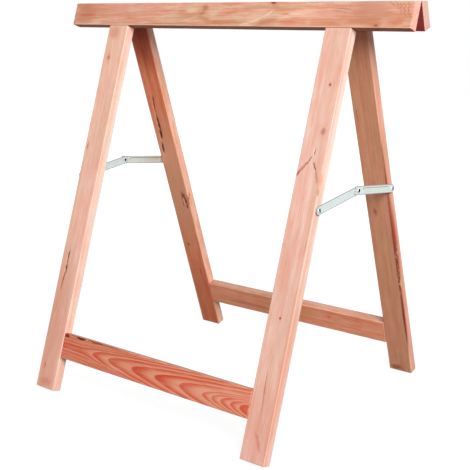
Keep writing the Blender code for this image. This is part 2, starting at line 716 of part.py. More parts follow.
clear_scene()
parts = new_collection("work_trestle")
cutters = new_collection("work_trestle_cutters")
larch = new_material("larch", (0.68, 0.34, 0.22), 0.6, 0.0)
beech = new_material("beech", (0.72, 0.52, 0.34), 0.6, 0.0)
zinc_plate = new_material("zinc_plate", (0.75, 0.78, 0.77), 0.35, 0.9)

frame_axes = {frame: add_frame_axis(frame) for frame in (FRONT, BACK)}
arm_axes = {(frame, side): arm_axis(frame, side) for frame in (FRONT, BACK) for side in (LEFT, RIGHT)}
knuckle_notches = {frame: make_knuckle_notches(frame) for frame in (FRONT, BACK)}
stay_screw_holes = {frame: make_stay_screw_holes(frame) for frame in (FRONT, BACK)}
hinge_screw_holes = {}
leg_dowel_holes = {}
rail_dowel_holes = {}
dowel = chamfered_rod(DOWEL_DIAMETER / 2 - SEAT_GAP, DOWEL_LENGTH, DOWEL_CHAMFER, DOWEL_SIDES, "dowel")
for frame in (FRONT, BACK):
    hinge_screw_holes[frame] = make_hinge_screw_holes(frame, (LEFT, RIGHT), FRAME_WORD[frame] + "_hinge")
    for joint, places, holes in (
        ("leg", leg_dowel_places(frame), leg_dowel_holes),
        ("rail", rail_dowel_places(frame), rail_dowel_holes),
    ):
        word = FRAME_WORD[frame]
        holes[frame] = dowel_holes(frame, places, "%s_%s_dowel_holes" % (word, joint))
        add_copies(word + "_%s_" + joint + "_dowel_%d", dowel, places, frame_axes[frame], beech)

hinge_screw = hinge_screw_mesh()
for frame in (FRONT, BACK):
    ridge_rail(frame)
    lower_rail(frame)
    places = hinge_screw_places(frame, (LEFT, RIGHT))
    add_copies("%s_hinge_%s_screw_%d", hinge_screw, places, frame_axes[frame], zinc_plate)
    stay_screws(frame)
    for side in (LEFT, RIGHT):
        leg(frame, side)
        hinge_leaf(frame, side)
        stay_arm(frame, side)
        rivet_half(frame, side)

for side in (LEFT, RIGHT):
    hinge_pin(side)
stay_washers(FRONT, WASHER_THICKNESS, "%s_stay_front_washer")
stay_washers(BACK, SPACER_THICKNESS, "%s_stay_back_spacer")
bpy.context.view_layer.update()
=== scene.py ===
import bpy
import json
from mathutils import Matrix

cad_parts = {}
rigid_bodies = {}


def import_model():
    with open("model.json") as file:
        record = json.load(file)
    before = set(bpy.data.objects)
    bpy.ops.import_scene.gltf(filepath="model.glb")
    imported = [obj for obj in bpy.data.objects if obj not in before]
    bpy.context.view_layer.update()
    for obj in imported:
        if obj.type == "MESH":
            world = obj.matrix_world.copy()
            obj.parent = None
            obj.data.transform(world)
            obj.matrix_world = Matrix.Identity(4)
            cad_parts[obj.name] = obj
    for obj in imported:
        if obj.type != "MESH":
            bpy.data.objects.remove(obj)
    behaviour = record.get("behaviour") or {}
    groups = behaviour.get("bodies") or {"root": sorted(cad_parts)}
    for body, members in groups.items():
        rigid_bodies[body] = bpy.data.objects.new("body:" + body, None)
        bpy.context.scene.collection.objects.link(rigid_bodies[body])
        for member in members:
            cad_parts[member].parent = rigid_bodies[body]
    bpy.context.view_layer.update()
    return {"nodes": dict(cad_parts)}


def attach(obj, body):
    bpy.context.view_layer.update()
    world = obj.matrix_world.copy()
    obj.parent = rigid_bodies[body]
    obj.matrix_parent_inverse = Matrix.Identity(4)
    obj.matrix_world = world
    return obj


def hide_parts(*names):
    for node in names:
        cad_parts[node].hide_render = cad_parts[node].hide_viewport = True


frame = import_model()

import json
import math
import bpy
import numpy as np
from mathutils import Matrix, Vector

# Where the two frames stand, as the CAD has them. The boards are told in frame axes:
# x along the ridge, up the legs from the hinge pins, and out from the other frame
stance = {
    "lean": math.radians(18.8),
    "pinHeight": 0.74663,
    "ridgeLevel": 0.75003,       # both ridge rails are planed off at this height
}
cosLean, sinLean = math.cos(stance["lean"]), math.sin(stance["lean"])
front, back = -1, 1
mm = 0.001


def toWorld(side, x, up, out):
    y = side * (out * cosLean - up * sinLean)
    z = stance["pinHeight"] + up * cosLean + out * sinLean
    return x, y, z


def toFrame(side, co):
    y, z = side * co[:, 1], co[:, 2] - stance["pinHeight"]
    return np.column_stack((co[:, 0], -y * sinLean + z * cosLean, y * cosLean + z * sinLean))


def pointsOf(mesh):
    co = np.empty(len(mesh.vertices) * 3)
    mesh.vertices.foreach_get("co", co)
    return co.reshape(-1, 3)


def nodePoints(node):
    return pointsOf(frame["nodes"][node].data)


def bodyOf(node):
    return frame["nodes"][node].parent.name.split(":")[-1]


def newObject(name, data):
    thing = bpy.data.objects.new(name, data)
    bpy.context.scene.collection.objects.link(thing)
    return thing


def newMesh(name, points, faces):
    mesh = bpy.data.meshes.new(name)
    mesh.from_pydata(points, [], faces)
    return mesh


def storeVectors(mesh, label, vectors):
    layer = mesh.attributes.new(label, "FLOAT_VECTOR", "POINT")
    layer.data.foreach_set("vector", vectors.astype(np.float32).ravel())


def finishMesh(mesh, materials, sharpAngle):
    mesh.shade_smooth()
    mesh.set_sharp_from_angle(angle=math.radians(sharpAngle))
    mesh.materials.clear()
    for material in materials:
        mesh.materials.append(material)


# Shader sums

class Tap:                                   # a socket that takes part in sums
    def __init__(self, net, socket):
        self.net, self.socket = net, socket

    def __add__(self, other):
        return self.net.maths("ADD", self, other)

    def __sub__(self, other):
        return self.net.maths("SUBTRACT", self, other)

    def __rsub__(self, other):
        return self.net.maths("SUBTRACT", other, self)

    def __mul__(self, other):
        return self.net.maths("MULTIPLY", self, other)

    def __truediv__(self, other):
        return self.net.maths("DIVIDE", self, other)

    def __rtruediv__(self, other):
        return self.net.maths("DIVIDE", other, self)

    __radd__, __rmul__ = __add__, __mul__


class Net:                                   # builds the nodes of one material or one geometry tree
    def __init__(self, tree):
        self.tree = tree

    def add(self, kind, settings=(), inputs=(), output=0):
        kind = kind if kind.startswith(("Geometry", "Function")) else "ShaderNode" + kind
        node = self.tree.nodes.new(kind)
        for key, value in dict(settings).items():
            if key == "curve":               # straight runs between the points of a float curve
                curve = node.mapping.curves[0].points
                while len(curve) < len(value):
                    curve.new(1.0, 1.0)
                for point, (across, up) in zip(curve, value):
                    point.location, point.handle_type = (across, up), "VECTOR"
                node.mapping.update()
            else:
                setattr(node, key, value)
        for key, value in dict(inputs).items():
            socket = self.find(node.inputs, key)         # a list of taps goes to one that takes several
            for one in value if isinstance(value, list) and isinstance(value[0], Tap) else [value]:
                if isinstance(one, Tap):
                    self.tree.links.new(one.socket, socket)
                else:
                    socket.default_value = shade(one) if socket.type == "RGBA" else one
        return Tap(self, self.find(node.outputs, output) if node.outputs else None)

    def find(self, sockets, key):            # by its number, its identifier or its name
        if isinstance(key, int):
            return sockets[key]
        exact = [socket for socket in sockets if socket.identifier == key]
        return (exact or [socket for socket in sockets if socket.enabled and socket.name == key])[0]

    def split(self, vector):
        first = self.add("SeparateXYZ", (), {0: vector})
        return [Tap(self, socket) for socket in first.socket.node.outputs]

    def maths(self, operation, *values):
        return self.add("Math", {"operation": operation}, dict(enumerate(values)))

    def vectors(self, operation, *values, output="Vector"):
        return self.add("VectorMath", {"operation": operation}, dict(enumerate(values)), output)

    def clip(self, value):
        return self.add("Math", {"operation": "ADD", "use_clamp": True}, {0: value, 1: 0.0})

    def over(self, value, middle, gain):     # how far a value is over the middle, 0 to 1
        return self.clip((value - middle) * gain)

    def step(self, value, low, high):        # 0 below low and 1 above high, smooth between
        kind = {"interpolation_type": "SMOOTHSTEP"}
        return self.add("MapRange", kind, {"Value": value, "From Min": low, "From Max": high})

    def join(self, x, y, z):
        return self.add("CombineXYZ", (), {0: x, 1: y, 2: z})

    def noise(self, vector, detail=2.0, rough=0.5, output="Fac", scale=1.0):
        sockets = {"Vector": vector, "Scale": scale, "Detail": detail, "Roughness": rough}
        return self.add("TexNoise", (), sockets, output)

    def geometry(self, kind, inputs, output="Geometry", settings=()):
        return self.add("GeometryNode" + kind, settings, inputs, output)

    def mix(self, factor, first, second, blend="MIX"):
        kind = {"data_type": "RGBA", "blend_type": blend}
        sockets = {"Factor_Float": factor, "A_Color": first, "B_Color": second}
        return self.add("Mix", kind, sockets, "Result_Color")

    def close(self, material, colour, roughness, height, depth, metallic=0.0, gloss=0.5):
        normal = self.add("Bump", (), {"Height": height, "Distance": depth, "Strength": 1.0})
        sockets = {"Base Color": colour, "Roughness": roughness, "Metallic": metallic, "Normal": normal,
                   "Specular IOR Level": gloss}
        self.add("OutputMaterial", (), {"Surface": self.add("BsdfPrincipled", (), sockets)})
        return material


def newMaterial(name):
    material = bpy.data.materials.new(name)
    material.use_nodes = True
    material.node_tree.nodes.clear()
    return material, Net(material.node_tree)


def shade(colour):                           # sRGB numbers of 0 to 255 as Blender's linear colour
    if len(colour) == 4:
        return colour
    parts = [value / 255 for value in colour]
    return [part / 12.92 if part <= 0.04045 else ((part + 0.055) / 1.055) ** 2.4 for part in parts] + [1.0]


# Timber

# Each board is cut from its own place in a log. "pith" is where the heart ran, in millimetres square to
# the grain from the board's middle (across, through), and "drift" how much it leans over a metre.
# Knots are placed in millimetres along the grain, then across it. Knots and marks lie on the outer face,
# or on the inner one where "marked" says so. "tintAndPaintedLight" gives the board its tone ("main") and its
# end grain ("ends"), and paints light and shade on whole faces: the inner faces, the sides and the undersides
# each lighter or darker as the light falls on them.
boards = {
    "front_ridge_rail": {
        "early": (237, 182, 152), "late": (210, 132, 102), "spacing": 3.6, "contrast": 0.8,
        "pith": (-52, -46), "drift": (22, 14), "wave": 9.0, "seed": 3, "lively": 1.5, "rubbedAndHighlit": 0.85,
        # painted shade: the inner tint darkens the gap between the ridge rails, the below tint their
        # undersides
        "tintAndPaintedLight": {"main": (1.03, 1.04, 1.05), "inner": (0.50, 0.13, 0.15), "ends": (1.2, 0.95, 1.07),
                 "below": (0.54, 0.34, 0.27)},
        "knots": [{"at": (112.4, -3.6), "size": 3.0, "dark": 1.3, "pit": 1.0},
                  {"at": (324.5, -46.0), "size": 2.8, "dark": 1.0, "pit": 0.4}],
    },
    "back_ridge_rail": {
        "early": (230, 178, 150), "late": (200, 134, 104), "spacing": 3.8, "contrast": 0.6,
        "pith": (-50, 44), "drift": (-8, 10), "wave": 6.0, "seed": 11, "lively": 1.3,
        # painted shade: the inner tint darkens the gap between the ridge rails, the below tint their
        # undersides
        "tintAndPaintedLight": {"inner": (0.42, 0.10, 0.11), "ends": (0.95, 0.93, 1.05), "below": (0.54, 0.34, 0.27)},
        "knots": [{"at": (-212, -22), "size": 7, "dark": 0.7, "pit": 0.5}],
    },
    "front_left_leg": {
        "early": (244, 196, 176), "late": (224, 156, 132), "spacing": 3.8, "contrast": 0.5,
        "pith": (-62, -26), "drift": (6, 10), "wave": 4.0, "seed": 5, "lively": 0.9,
        "tintAndPaintedLight": {"main": (1.18, 1.18, 1.17)},
        "knots": [{"at": (-116.0, -265.1), "size": 3.4, "dark": 0.6, "pit": 0.4},
                  {"at": (-743.8, -266.4), "size": 1.6, "dark": 0.6, "pit": 0.2}],
    },
    "front_right_leg": {
        "early": (244, 192, 174), "late": (226, 156, 134), "spacing": 3.6, "contrast": 0.45,
        "pith": (-58, -30), "drift": (-8, 8), "wave": 4.0, "seed": 8, "lively": 0.9,
        # the sides tint paints light on the leg's side faces
        "tintAndPaintedLight": {"main": (1.04, 1.08, 1.08), "sides": (1.10, 1.24, 1.29)},
        "knots": [{"at": (-146.7, 260.9), "size": 1.7, "dark": 1.0, "pit": 0.6},
                  {"at": (-226.2, 265.4), "size": 4.2, "dark": 0.55, "pit": 0.2},
                  {"at": (-545.0, 254.6), "size": 1.5, "dark": 1.0, "pit": 0.3}],
    },
    "back_left_leg": {
        "early": (226, 150, 116), "late": (194, 104, 74), "spacing": 3.4, "contrast": 0.6,
        "pith": (50, 34), "drift": (8, 8), "wave": 4.0, "seed": 21, "lively": 1.1,
        # the inner and sides tints paint light and shade on those faces
        "tintAndPaintedLight": {"main": (1.08, 1.28, 1.42), "inner": (1.41, 1.20, 1.03), "sides": (1.52, 2.14, 2.62)},
        "marked": "inner",
        "knots": [{"at": (-453, -239.0), "size": 5, "dark": 0.4, "pit": 1.4},
                  {"at": (-569.9, -263.3), "size": 2.4, "dark": 0.9, "pit": 0.4}],
    },
    "back_right_leg": {
        "early": (224, 158, 124), "late": (200, 126, 92), "spacing": 3.4, "contrast": 0.5,
        "pith": (44, 40), "drift": (-6, 10), "wave": 4.0, "seed": 27, "lively": 0.7,
        # the inner and sides tints paint light and shade on those faces
        "tintAndPaintedLight": {"main": (1.08, 1.20, 1.32), "inner": (1.12, 1.13, 1.12), "sides": (1.19, 1.31, 1.60)},
        "marked": "inner",
        "knots": [{"at": (-407.0, 246.5), "size": 2.4, "dark": 0.85, "pit": 0.4}],
    },
    "front_lower_rail": {                    # a flat-sawn board: its rings are counted out one by one
        "early": (230, 160, 130), "late": (206, 72, 42), "contrast": 1.0, "rise": (0.10, 0.86),
        "rings": (13.0, 15.4, 16.6, 17.8, 19.0, 20.2, 23.4, 26.45, 29.5, 32.4, 34.9, 36.6, 38.2, 39.2,
                  41.4, 42.4, 44.8, 46.4, 49.0, 50.6),
        "pith": (-3.4, -17.0), "drift": (-30, 55), "wave": 2.4, "seed": 14, "lively": 0.5, "uneven": 0.15,
        "squash": (0.90, -1.2), "settle": -0.165,
        # the sides tint paints light and shade on the rail's top and bottom faces
        "tintAndPaintedLight": {"main": (1.07, 1.03, 0.99), "sides": (0.64, 1.05, 1.10)},
        "knots": [],
    },
    "back_lower_rail": {
        "early": (226, 156, 126), "late": (200, 110, 80), "spacing": 3.2, "contrast": 0.7,
        "pith": (36, -24), "drift": (4, 12), "wave": 3.0, "seed": 33, "lively": 1.1,
        # the inner and sides tints paint light and shade on those faces
        "tintAndPaintedLight": {"main": (1.06, 1.20, 1.30), "inner": (1.51, 1.49, 1.37), "sides": (0.88, 1.13, 1.24)},
        "marked": "inner",
        "knots": [{"at": (96, -690), "size": 2.4, "dark": 0.4, "pit": 0.2}],
    },
}


# Marks are stains, streaks and cracks. A spot has its half lengths and a line its two ends and half width,
# in millimetres. Further words: "turn" in degrees, "groove" for how deep a mark is cut, "whole" for a line
# that isn't broken up, "deep" and "through" for how far from the face it lies and how thick it is.
def spot(along, across, length, width, tone, amount, **further):
    return {"at": (along, across), "size": (length, width), "tone": tone, "amount": amount, **further}


def line(along, across, toAlong, toAcross, wide, tone, amount, **further):
    return {"from": (along, across), "to": (toAlong, toAcross), "wide": wide, "tone": tone,
            "amount": amount, **further}


marks = {
    "front_ridge_rail": [
        spot(-354, -24, 36, 30, (214, 130, 95), 0.55), spot(-357, -13, 28, 5, (184, 146, 106), 0.6),
        spot(-352, -28, 28, 3, (200, 108, 70), 0.6), spot(-73, -19, 21, 6, (240, 208, 172), 0.8),
        spot(-18, -24, 14, 8, (238, 200, 172), 0.65), spot(-41, -14, 9, 8, (172, 114, 78), 0.65),
        spot(-45, -25, 9, 6, (186, 122, 88), 0.55, turn=30),
        spot(-38, -35, 20, 4, (204, 130, 92), 0.65, turn=-10),
        line(-96, -41, -54, -30, 2.6, (242, 194, 170), 0.65), spot(-387.4, -24, 2.4, 40, (138, 82, 58), 0.8),
        spot(2, -41, 44, 5, (212, 124, 84), 0.7), spot(15, -6.5, 30, 3.2, (214, 126, 88), 0.6),
        spot(88, -13, 54, 4.5, (190, 146, 106), 0.6), line(118, -19, 92, -33, 3, (246, 208, 182), 0.75),
        line(96, -31, 66, -42, 3, (246, 208, 182), 0.75), line(70, -41, 44, -47, 2.7, (246, 208, 182), 0.7),
        spot(103, -40, 36, 7, (196, 122, 96), 0.6, turn=16), spot(141, -26, 13, 3, (220, 126, 88), 0.7),
        spot(151, -40, 26, 3.2, (218, 122, 84), 0.7), spot(193, -19.5, 33, 2.6, (244, 188, 168), 0.7),
        line(232, -15.5, 280, -18, 1.2, (160, 94, 70), 0.6),
        line(228, -19, 276, -24, 1.2, (164, 98, 72), 0.6),
        spot(256, -7.5, 20, 2.6, (246, 206, 186), 0.6), spot(311, -24, 40, 26, (192, 128, 98), 0.5),
        spot(338, -40, 13, 8, (242, 194, 170), 0.6, turn=35),
        spot(363, -39, 15, 7, (214, 124, 88), 0.65, turn=25),
        line(345, -5, 350, -13, 1.5, (168, 98, 70), 0.6),
        line(353, -3, 360, -20, 1.7, (172, 104, 78), 0.55), line(361, -5, 367, -27, 1.8, (164, 94, 68), 0.7),
        line(368, -4, 375, -33, 1.8, (164, 94, 70), 0.7), line(376, -4, 383, -36, 1.8, (166, 96, 72), 0.7),
        spot(325, -25, 130, 40, (196, 122, 90), 0.45),
    ],
    "back_ridge_rail": [
        spot(120, -30, 60, 8, (206, 124, 88), 0.5), spot(-60, -14, 46, 5, (240, 204, 176), 0.5),
        line(210, -12, 262, -15, 1.5, (140, 76, 56), 0.6),
    ],
    "front_left_leg": [
        spot(-64, -264, 16, 20, (222, 132, 98), 0.5),
        line(-506, -262.4, -548, -263.6, 2, (92, 28, 14), 1, groove=0.7, whole=True),
        line(-538, -263.8, -558, -261.4, 2.9, (80, 20, 10), 1, groove=0.6, whole=True),
        line(-548, -263.2, -598, -267.8, 1.9, (98, 32, 18), 0.95, groove=0.5, whole=True),
        line(-596, -268, -640, -269.5, 0.9, (170, 90, 70), 0.6), spot(-297, -272, 9, 3, (214, 118, 92), 0.7),
        line(-734, -264.8, -756, -267.6, 1, (140, 66, 50), 0.8),
        spot(-776, -256, 10, 20, (206, 120, 88), 0.5),
        spot(-680, -263, 200, 40, (222, 140, 112), 0.5),
        spot(-330, -229.5, 380, 6, (255, 242, 228), 0.6, deep=19, through=15),
    ],
    "front_right_leg": [
        line(-255, 257.7, -267, 256.9, 1.5, (100, 44, 32), 1, groove=0.8),
        line(-267, 255.2, -276, 250, 1, (148, 90, 66), 0.75), spot(-275.6, 250, 2.6, 2.2, (64, 22, 14), 1),
        line(-274, 250.5, -292, 239.5, 2.2, (180, 118, 92), 0.8, groove=0.2),
        line(-284, 244, -304, 228.5, 4, (206, 122, 104), 0.75),
        line(-292, 237, -306, 228, 1.8, (144, 86, 70), 0.75),
        line(-279, 257.8, -298, 267.5, 2.4, (164, 110, 86), 0.85, groove=0.2),
        line(-294, 266, -314, 274.5, 3, (204, 142, 118), 0.75),
        spot(-309, 278.5, 15, 3, (250, 158, 118), 0.75, through=7),
        line(-319, 278.6, -336, 279.4, 1.4, (186, 116, 88), 0.75),
        line(-626, 250, -716, 255.6, 1.5, (176, 98, 74), 0.75),
        line(-734, 250, -766, 264, 2.6, (206, 120, 96), 0.7),
        line(-770, 268, -744, 258, 2.4, (214, 134, 108), 0.6),
        spot(-640, 279.5, 220, 8, (232, 150, 120), 0.45, through=26),
        spot(-730, 256, 90, 40, (232, 150, 124), 0.35),
        spot(-200, 279.5, 260, 6, (255, 240, 224), 0.6, deep=19, through=15),
        spot(-470, 246, 60, 10, (230, 156, 130), 0.4), spot(-120, 240, 50, 7, (232, 158, 134), 0.45),
    ],
    "back_left_leg": [
        # the first spot is painted shade at the top of the leg, under the ridge rails
        spot(-66, -254, 96, 44, (152, 42, 26), 0.7), spot(-400, -254, 200, 60, (246, 182, 146), 0.75),
        spot(-720, -254, 110, 60, (206, 104, 66), 0.4),
        line(-196, -259.5, -240, -263.6, 2.8, (96, 22, 12), 0.95, groove=0.8),
        line(-234, -263.2, -292, -261.6, 3.3, (90, 20, 10), 1, groove=1.0),
        line(-278, -261.8, -302, -264, 4.2, (76, 16, 8), 1, groove=0.8),
        line(-310, -266.5, -336, -268, 4, (80, 18, 10), 1, groove=0.7),
        spot(-443, -242.2, 17, 7.5, (168, 66, 38), 0.9),
        line(-450, -246.6, -470, -247.8, 2, (196, 62, 22), 0.9, whole=True),
        spot(-461, -241.5, 8, 4, (222, 146, 124), 0.7),
        line(-444, -243.6, -460, -243.6, 2.3, (252, 196, 170), 1, whole=True),
        spot(-453, -238.4, 6, 3.4, (104, 22, 6), 1),
        line(-457, -236, -472, -238.5, 2.4, (170, 50, 20), 1, whole=True),
        spot(-446, -229.5, 5, 3, (150, 60, 40), 0.9, deep=2.6, through=2.4),
        spot(-438, -229.5, 7, 3, (150, 70, 50), 0.95, deep=6.8, through=2.6),
        spot(-452, -229.5, 6, 3, (255, 206, 172), 0.9, through=3.2),
        spot(-424, -229.5, 2.2, 2, (196, 130, 112), 0.6, deep=8.5, through=3.5),
        spot(-431, -229.5, 2, 2, (190, 122, 104), 0.6, deep=8.8, through=3.5),
        line(-630, -246, -654, -247, 2.2, (150, 80, 56), 0.7),
    ],
    "back_right_leg": [
        spot(-345, 279.5, 120, 2.6, (146, 56, 34), 0.9, through=4.6),
        spot(-470, 279.5, 135, 5, (162, 64, 38), 1, through=14),
        spot(-540, 279.5, 90, 3.6, (120, 40, 22), 0.9, through=7),
        spot(-640, 279.5, 130, 3.6, (134, 42, 22), 1, through=6.6),
        spot(-752, 279.5, 50, 1.6, (255, 206, 160), 0.75, deep=2, through=2.6),
        spot(-567, 279.5, 17, 2, (255, 200, 144), 0.9, deep=4.6, through=2.4),
        spot(-498, 279.5, 6, 2, (244, 170, 132), 0.85, deep=6, through=2.6),
        spot(-484, 279.5, 6, 2, (234, 154, 120), 0.75, deep=8, through=2.4),
        spot(-407, 246.5, 14, 5, (206, 112, 80), 0.6), line(-190, 236, -226, 238, 1.2, (150, 92, 66), 0.6),
        spot(-780, 246, 8, 18, (150, 74, 50), 0.7),
    ],
    "front_lower_rail": [
        spot(-223.5, -676.4, 8, 5, (92, 20, 12), 1, groove=0.6),
        line(-198, -674.6, -170, -675, 2.6, (80, 20, 14), 1, groove=0.5, whole=True),
        line(-160, -673.9, -122, -673.6, 1.9, (90, 26, 18), 0.95, groove=0.4, whole=True),
        line(-200, -673.2, -50, -673, 1.4, (150, 62, 46), 0.8),
    ],
    "back_lower_rail": [
        spot(-120, -706, 90, 5, (206, 116, 84), 0.5), line(120, -682, 190, -684, 1.2, (160, 84, 60), 0.6),
    ],
}

# Places where the saw or the planer tore the edge of a board away: along the grain from and to,
# how deep, and which edge it is (across, through), told by the sign of each side
tears = {
    "back_right_leg": [{"from": -488, "to": -604, "deep": 2.6, "edge": (1, -1), "rough": 1.0,
                        "tones": ((128, 46, 28), (250, 186, 140))}],
    "back_left_leg": [{"from": -430, "to": -466, "deep": 1.6, "edge": (1, -1), "rough": 1.0,
                       "tones": ((190, 84, 54), (246, 186, 154))}],
    "front_lower_rail": [{"from": -231, "to": -214, "deep": 4.6, "edge": (1, 1), "rough": 0.8,
                          "tones": ((92, 30, 22), (190, 96, 70))},
                         {"from": -214, "to": -110, "deep": 1.8, "edge": (1, 1), "rough": 0.7,
                          "tones": ((120, 44, 30), (230, 160, 122))}],
    "front_ridge_rail": [{"from": 108, "to": 119, "deep": 1.6, "edge": (1, 1), "rough": 0.3,
                          "tones": ((40, 10, 4), (96, 44, 26))}],
}
timberGrid = {                               # steps go along the grain, across it and through the board
    "steps": (0.0040, 0.0024, 0.0024), "fineSteps": (0.0012, 0.0007, 0.0007),
    "arris": 0.0014,             # radius of the eased edges
    "knotReach": 1.5, "tearReach": 1.6,      # how far round a knot or a tear the steps are fine, by its size
    "fade": 0.012,               # a torn edge starts and ends over this length
    "planer": 0.00012,           # the planer leaves the faces this much uneven
    "sharpAngle": 50,
}


easedLines = (0.16, 0.42, 0.72, 1.0, 1.5)    # where grid lines lie by an eased edge, in its radii
closestLines = 0.12                          # two of them are never nearer than this


def spread(low, high, step, zones, fine, arris):
    places = {low, high}
    for edge, direction in ((low, 1), (high, -1)):
        places.update(edge + direction * arris * share for share in easedLines)
    place, last = low + arris * easedLines[-1], high - arris * easedLines[-1]
    while place < last - 1e-6:
        near = any(start - step <= place <= end + step for start, end in zones)
        place = min(place + (fine if near else step), last)
        places.add(place)
    ordered = sorted(places)
    kept = [ordered[0]]
    for place in ordered[1:-1]:
        if min(place - kept[-1], ordered[-1] - place) > arris * closestLines:
            kept.append(place)
    return kept + [ordered[-1]]


def gridBox(lines):                          # closed box with the given grid lines on its three axes
    numbers, points, faces = {}, [], []

    def corner(*key):
        if key not in numbers:
            numbers[key] = len(points)
            points.append([lines[axis][place] for axis, place in enumerate(key)])
        return numbers[key]

    for axis in range(3):
        one, two = (axis + 1) % 3, (axis + 2) % 3
        for end in (0, len(lines[axis]) - 1):
            for a in range(len(lines[one]) - 1):
                for b in range(len(lines[two]) - 1):
                    quad = []
                    for da, db in ((0, 0), (1, 0), (1, 1), (0, 1)):
                        index = [0, 0, 0]
                        index[axis], index[one], index[two] = end, a + da, b + db
                        quad.append(corner(*index))
                    faces.append(quad if end else quad[::-1])
    return np.array(points), faces


def easeEdges(points, low, high, radius):    # rounds the box's edges; also gives each point's way out
    inner = np.clip(points, low + radius, high - radius)
    away = points - inner
    size = np.linalg.norm(away, axis=1)
    size[size == 0] = 1.0
    outward = away / size[:, None]
    return inner + outward * radius, outward


def wander(seed, count=5):                   # smooth random curve: sums of slow sines
    rng = np.random.default_rng(seed)
    waves = rng.uniform(0.5, 1.0, count), rng.uniform(0, 2 * math.pi, count), 2.0 ** np.arange(count)
    total = waves[0] / waves[2] ** 0.6

    def curve(value, length):
        value = np.asarray(value)[..., None] / length * 2 * math.pi
        return (np.sin(value * waves[2] * 0.9 + waves[1]) * total).sum(-1) / total.sum()
    return curve


def ellipseOf(mark):                         # where a mark lies: middle, half lengths and turn
    if "at" in mark:
        return mark["at"], mark["size"], math.radians(mark.get("turn", 0))
    (a0, c0), (a1, c1) = mark["from"], mark["to"]
    half = math.hypot(a1 - a0, c1 - c0) / 2 + mark["wide"]
    return ((a0 + a1) / 2, (c0 + c1) / 2), (half, mark["wide"]), math.atan2(c1 - c0, a1 - a0)


def facing(wood):
    return -1 if wood.get("marked") == "inner" else 1


def tornCorner(tear, low, high):             # where a torn edge runs, across and through
    return [(high if sign > 0 else low)[axis] for axis, sign in zip((1, 2), tear["edge"])]


def carve(mesh, cutters, operation="DIFFERENCE"):
    holder = newObject("carving", mesh)
    tools = [newObject("tool", cutter) for cutter in cutters]
    for tool in tools:
        step = holder.modifiers.new("carve", "BOOLEAN")
        step.solver, step.operation, step.object = "EXACT", operation, tool
    graph = bpy.context.evaluated_depsgraph_get()
    carved = bpy.data.meshes.new_from_object(holder.evaluated_get(graph))
    for done in (holder, *tools):
        bpy.data.objects.remove(done)
    return carved


def rodMesh(outline, low, high, place):      # closed prism over an outline, set by place(a, b, height)
    count = len(outline)
    points = [place(a, b, level) for level in (low, high) for a, b in outline]
    faces = [list(range(count))[::-1], list(range(count, 2 * count))]
    faces += [(i, (i + 1) % count, count + (i + 1) % count, count + i) for i in range(count)]
    return newMesh("rod", points, faces)


def roundOutline(radius, count, start=0.0, finish=2 * math.pi):
    turns = [start + (finish - start) * i / count for i in range(count)]
    return [(radius * math.cos(turn), radius * math.sin(turn)) for turn in turns]


hinge = {"middle": 0.1695, "length": 0.060, "knuckle": 0.0028, "clearance": 0.0004, "notchTop": 0.008}


def knuckleNotches(side):                    # round-bottomed slots that the hinge knuckles turn in
    notch, top = hinge["knuckle"] + hinge["clearance"], hinge["notchTop"]
    outline = roundOutline(notch, 14, math.pi, 2 * math.pi) + [(notch, 0.0), (notch, top), (-notch, top)]
    reach = hinge["length"] / 2 + hinge["clearance"]
    notches = []
    for middle in (-hinge["middle"], hinge["middle"]):
        notches.append(rodMesh(outline, middle - reach, middle + reach,
                               lambda out, up, x: toWorld(side, x, up, out)))
        if side == front:
            notches[-1].flip_normals()
    return notches


def fineZones(name, low, high):              # stretches of each axis that want a fine grid
    patches = [(knot["at"], [knot["size"] * timberGrid["knotReach"]] * 2) for knot in boards[name]["knots"]]
    for mark in marks[name]:
        if "groove" in mark:
            middle, (long, wide), turn = ellipseOf(mark)
            reach = abs(long * math.cos(turn)) + 1, abs(long * math.sin(turn)) + wide + 0.5
            patches.append((middle, reach))
    zones = [[((at[axis] - reach[axis]) * mm, (at[axis] + reach[axis]) * mm) for at, reach in patches]
             for axis in (0, 1)] + [[]]
    for tear in tears.get(name, []):
        zones[0].append(sorted((tear["from"] * mm, tear["to"] * mm)))
        reach = tear["deep"] * timberGrid["tearReach"] * mm
        for axis, edge in zip((1, 2), tornCorner(tear, low, high)):
            zones[axis].append((edge - reach, edge + reach))
    return zones


def dents(name, points, outward):            # how deep knots and cracks lie under each point
    wood = boards[name]
    u, v, w = points.T
    depth = np.zeros(len(points))
    facingOut = outward[:, 2] * facing(wood)
    for knot in wood["knots"]:
        gap = np.hypot((u - knot["at"][0] * mm) / 1.3, v - knot["at"][1] * mm) / (knot["size"] * mm)
        # the wood has shrunk round the knot: a bowl inside it and a furrow along its outline
        bowl = np.exp(-gap ** 2 * 2.2) * 0.5 + np.exp(-((gap - 1.0) / 0.25) ** 2) * 0.35
        depth += np.where(facingOut > 0.3, bowl * knot["pit"] * mm, 0)
    for index, mark in enumerate(marks[name]):
        if "groove" in mark:
            (along, across), size, turn = ellipseOf(mark)
            bend = wander(wood["seed"] * 10 + index)(u, 0.03) * size[1] * 0.6 * mm
            du, dv = u - along * mm, v - across * mm + bend
            first = (du * math.cos(turn) + dv * math.sin(turn)) / (size[0] * mm)
            second = (dv * math.cos(turn) - du * math.sin(turn)) / (size[1] * mm)
            hollow = np.clip(1 - first ** 2 - second ** 2, 0, 1) ** 0.5 * mark["groove"] * mm
            depth += np.where(facingOut > 0.6, hollow, 0)
    return depth


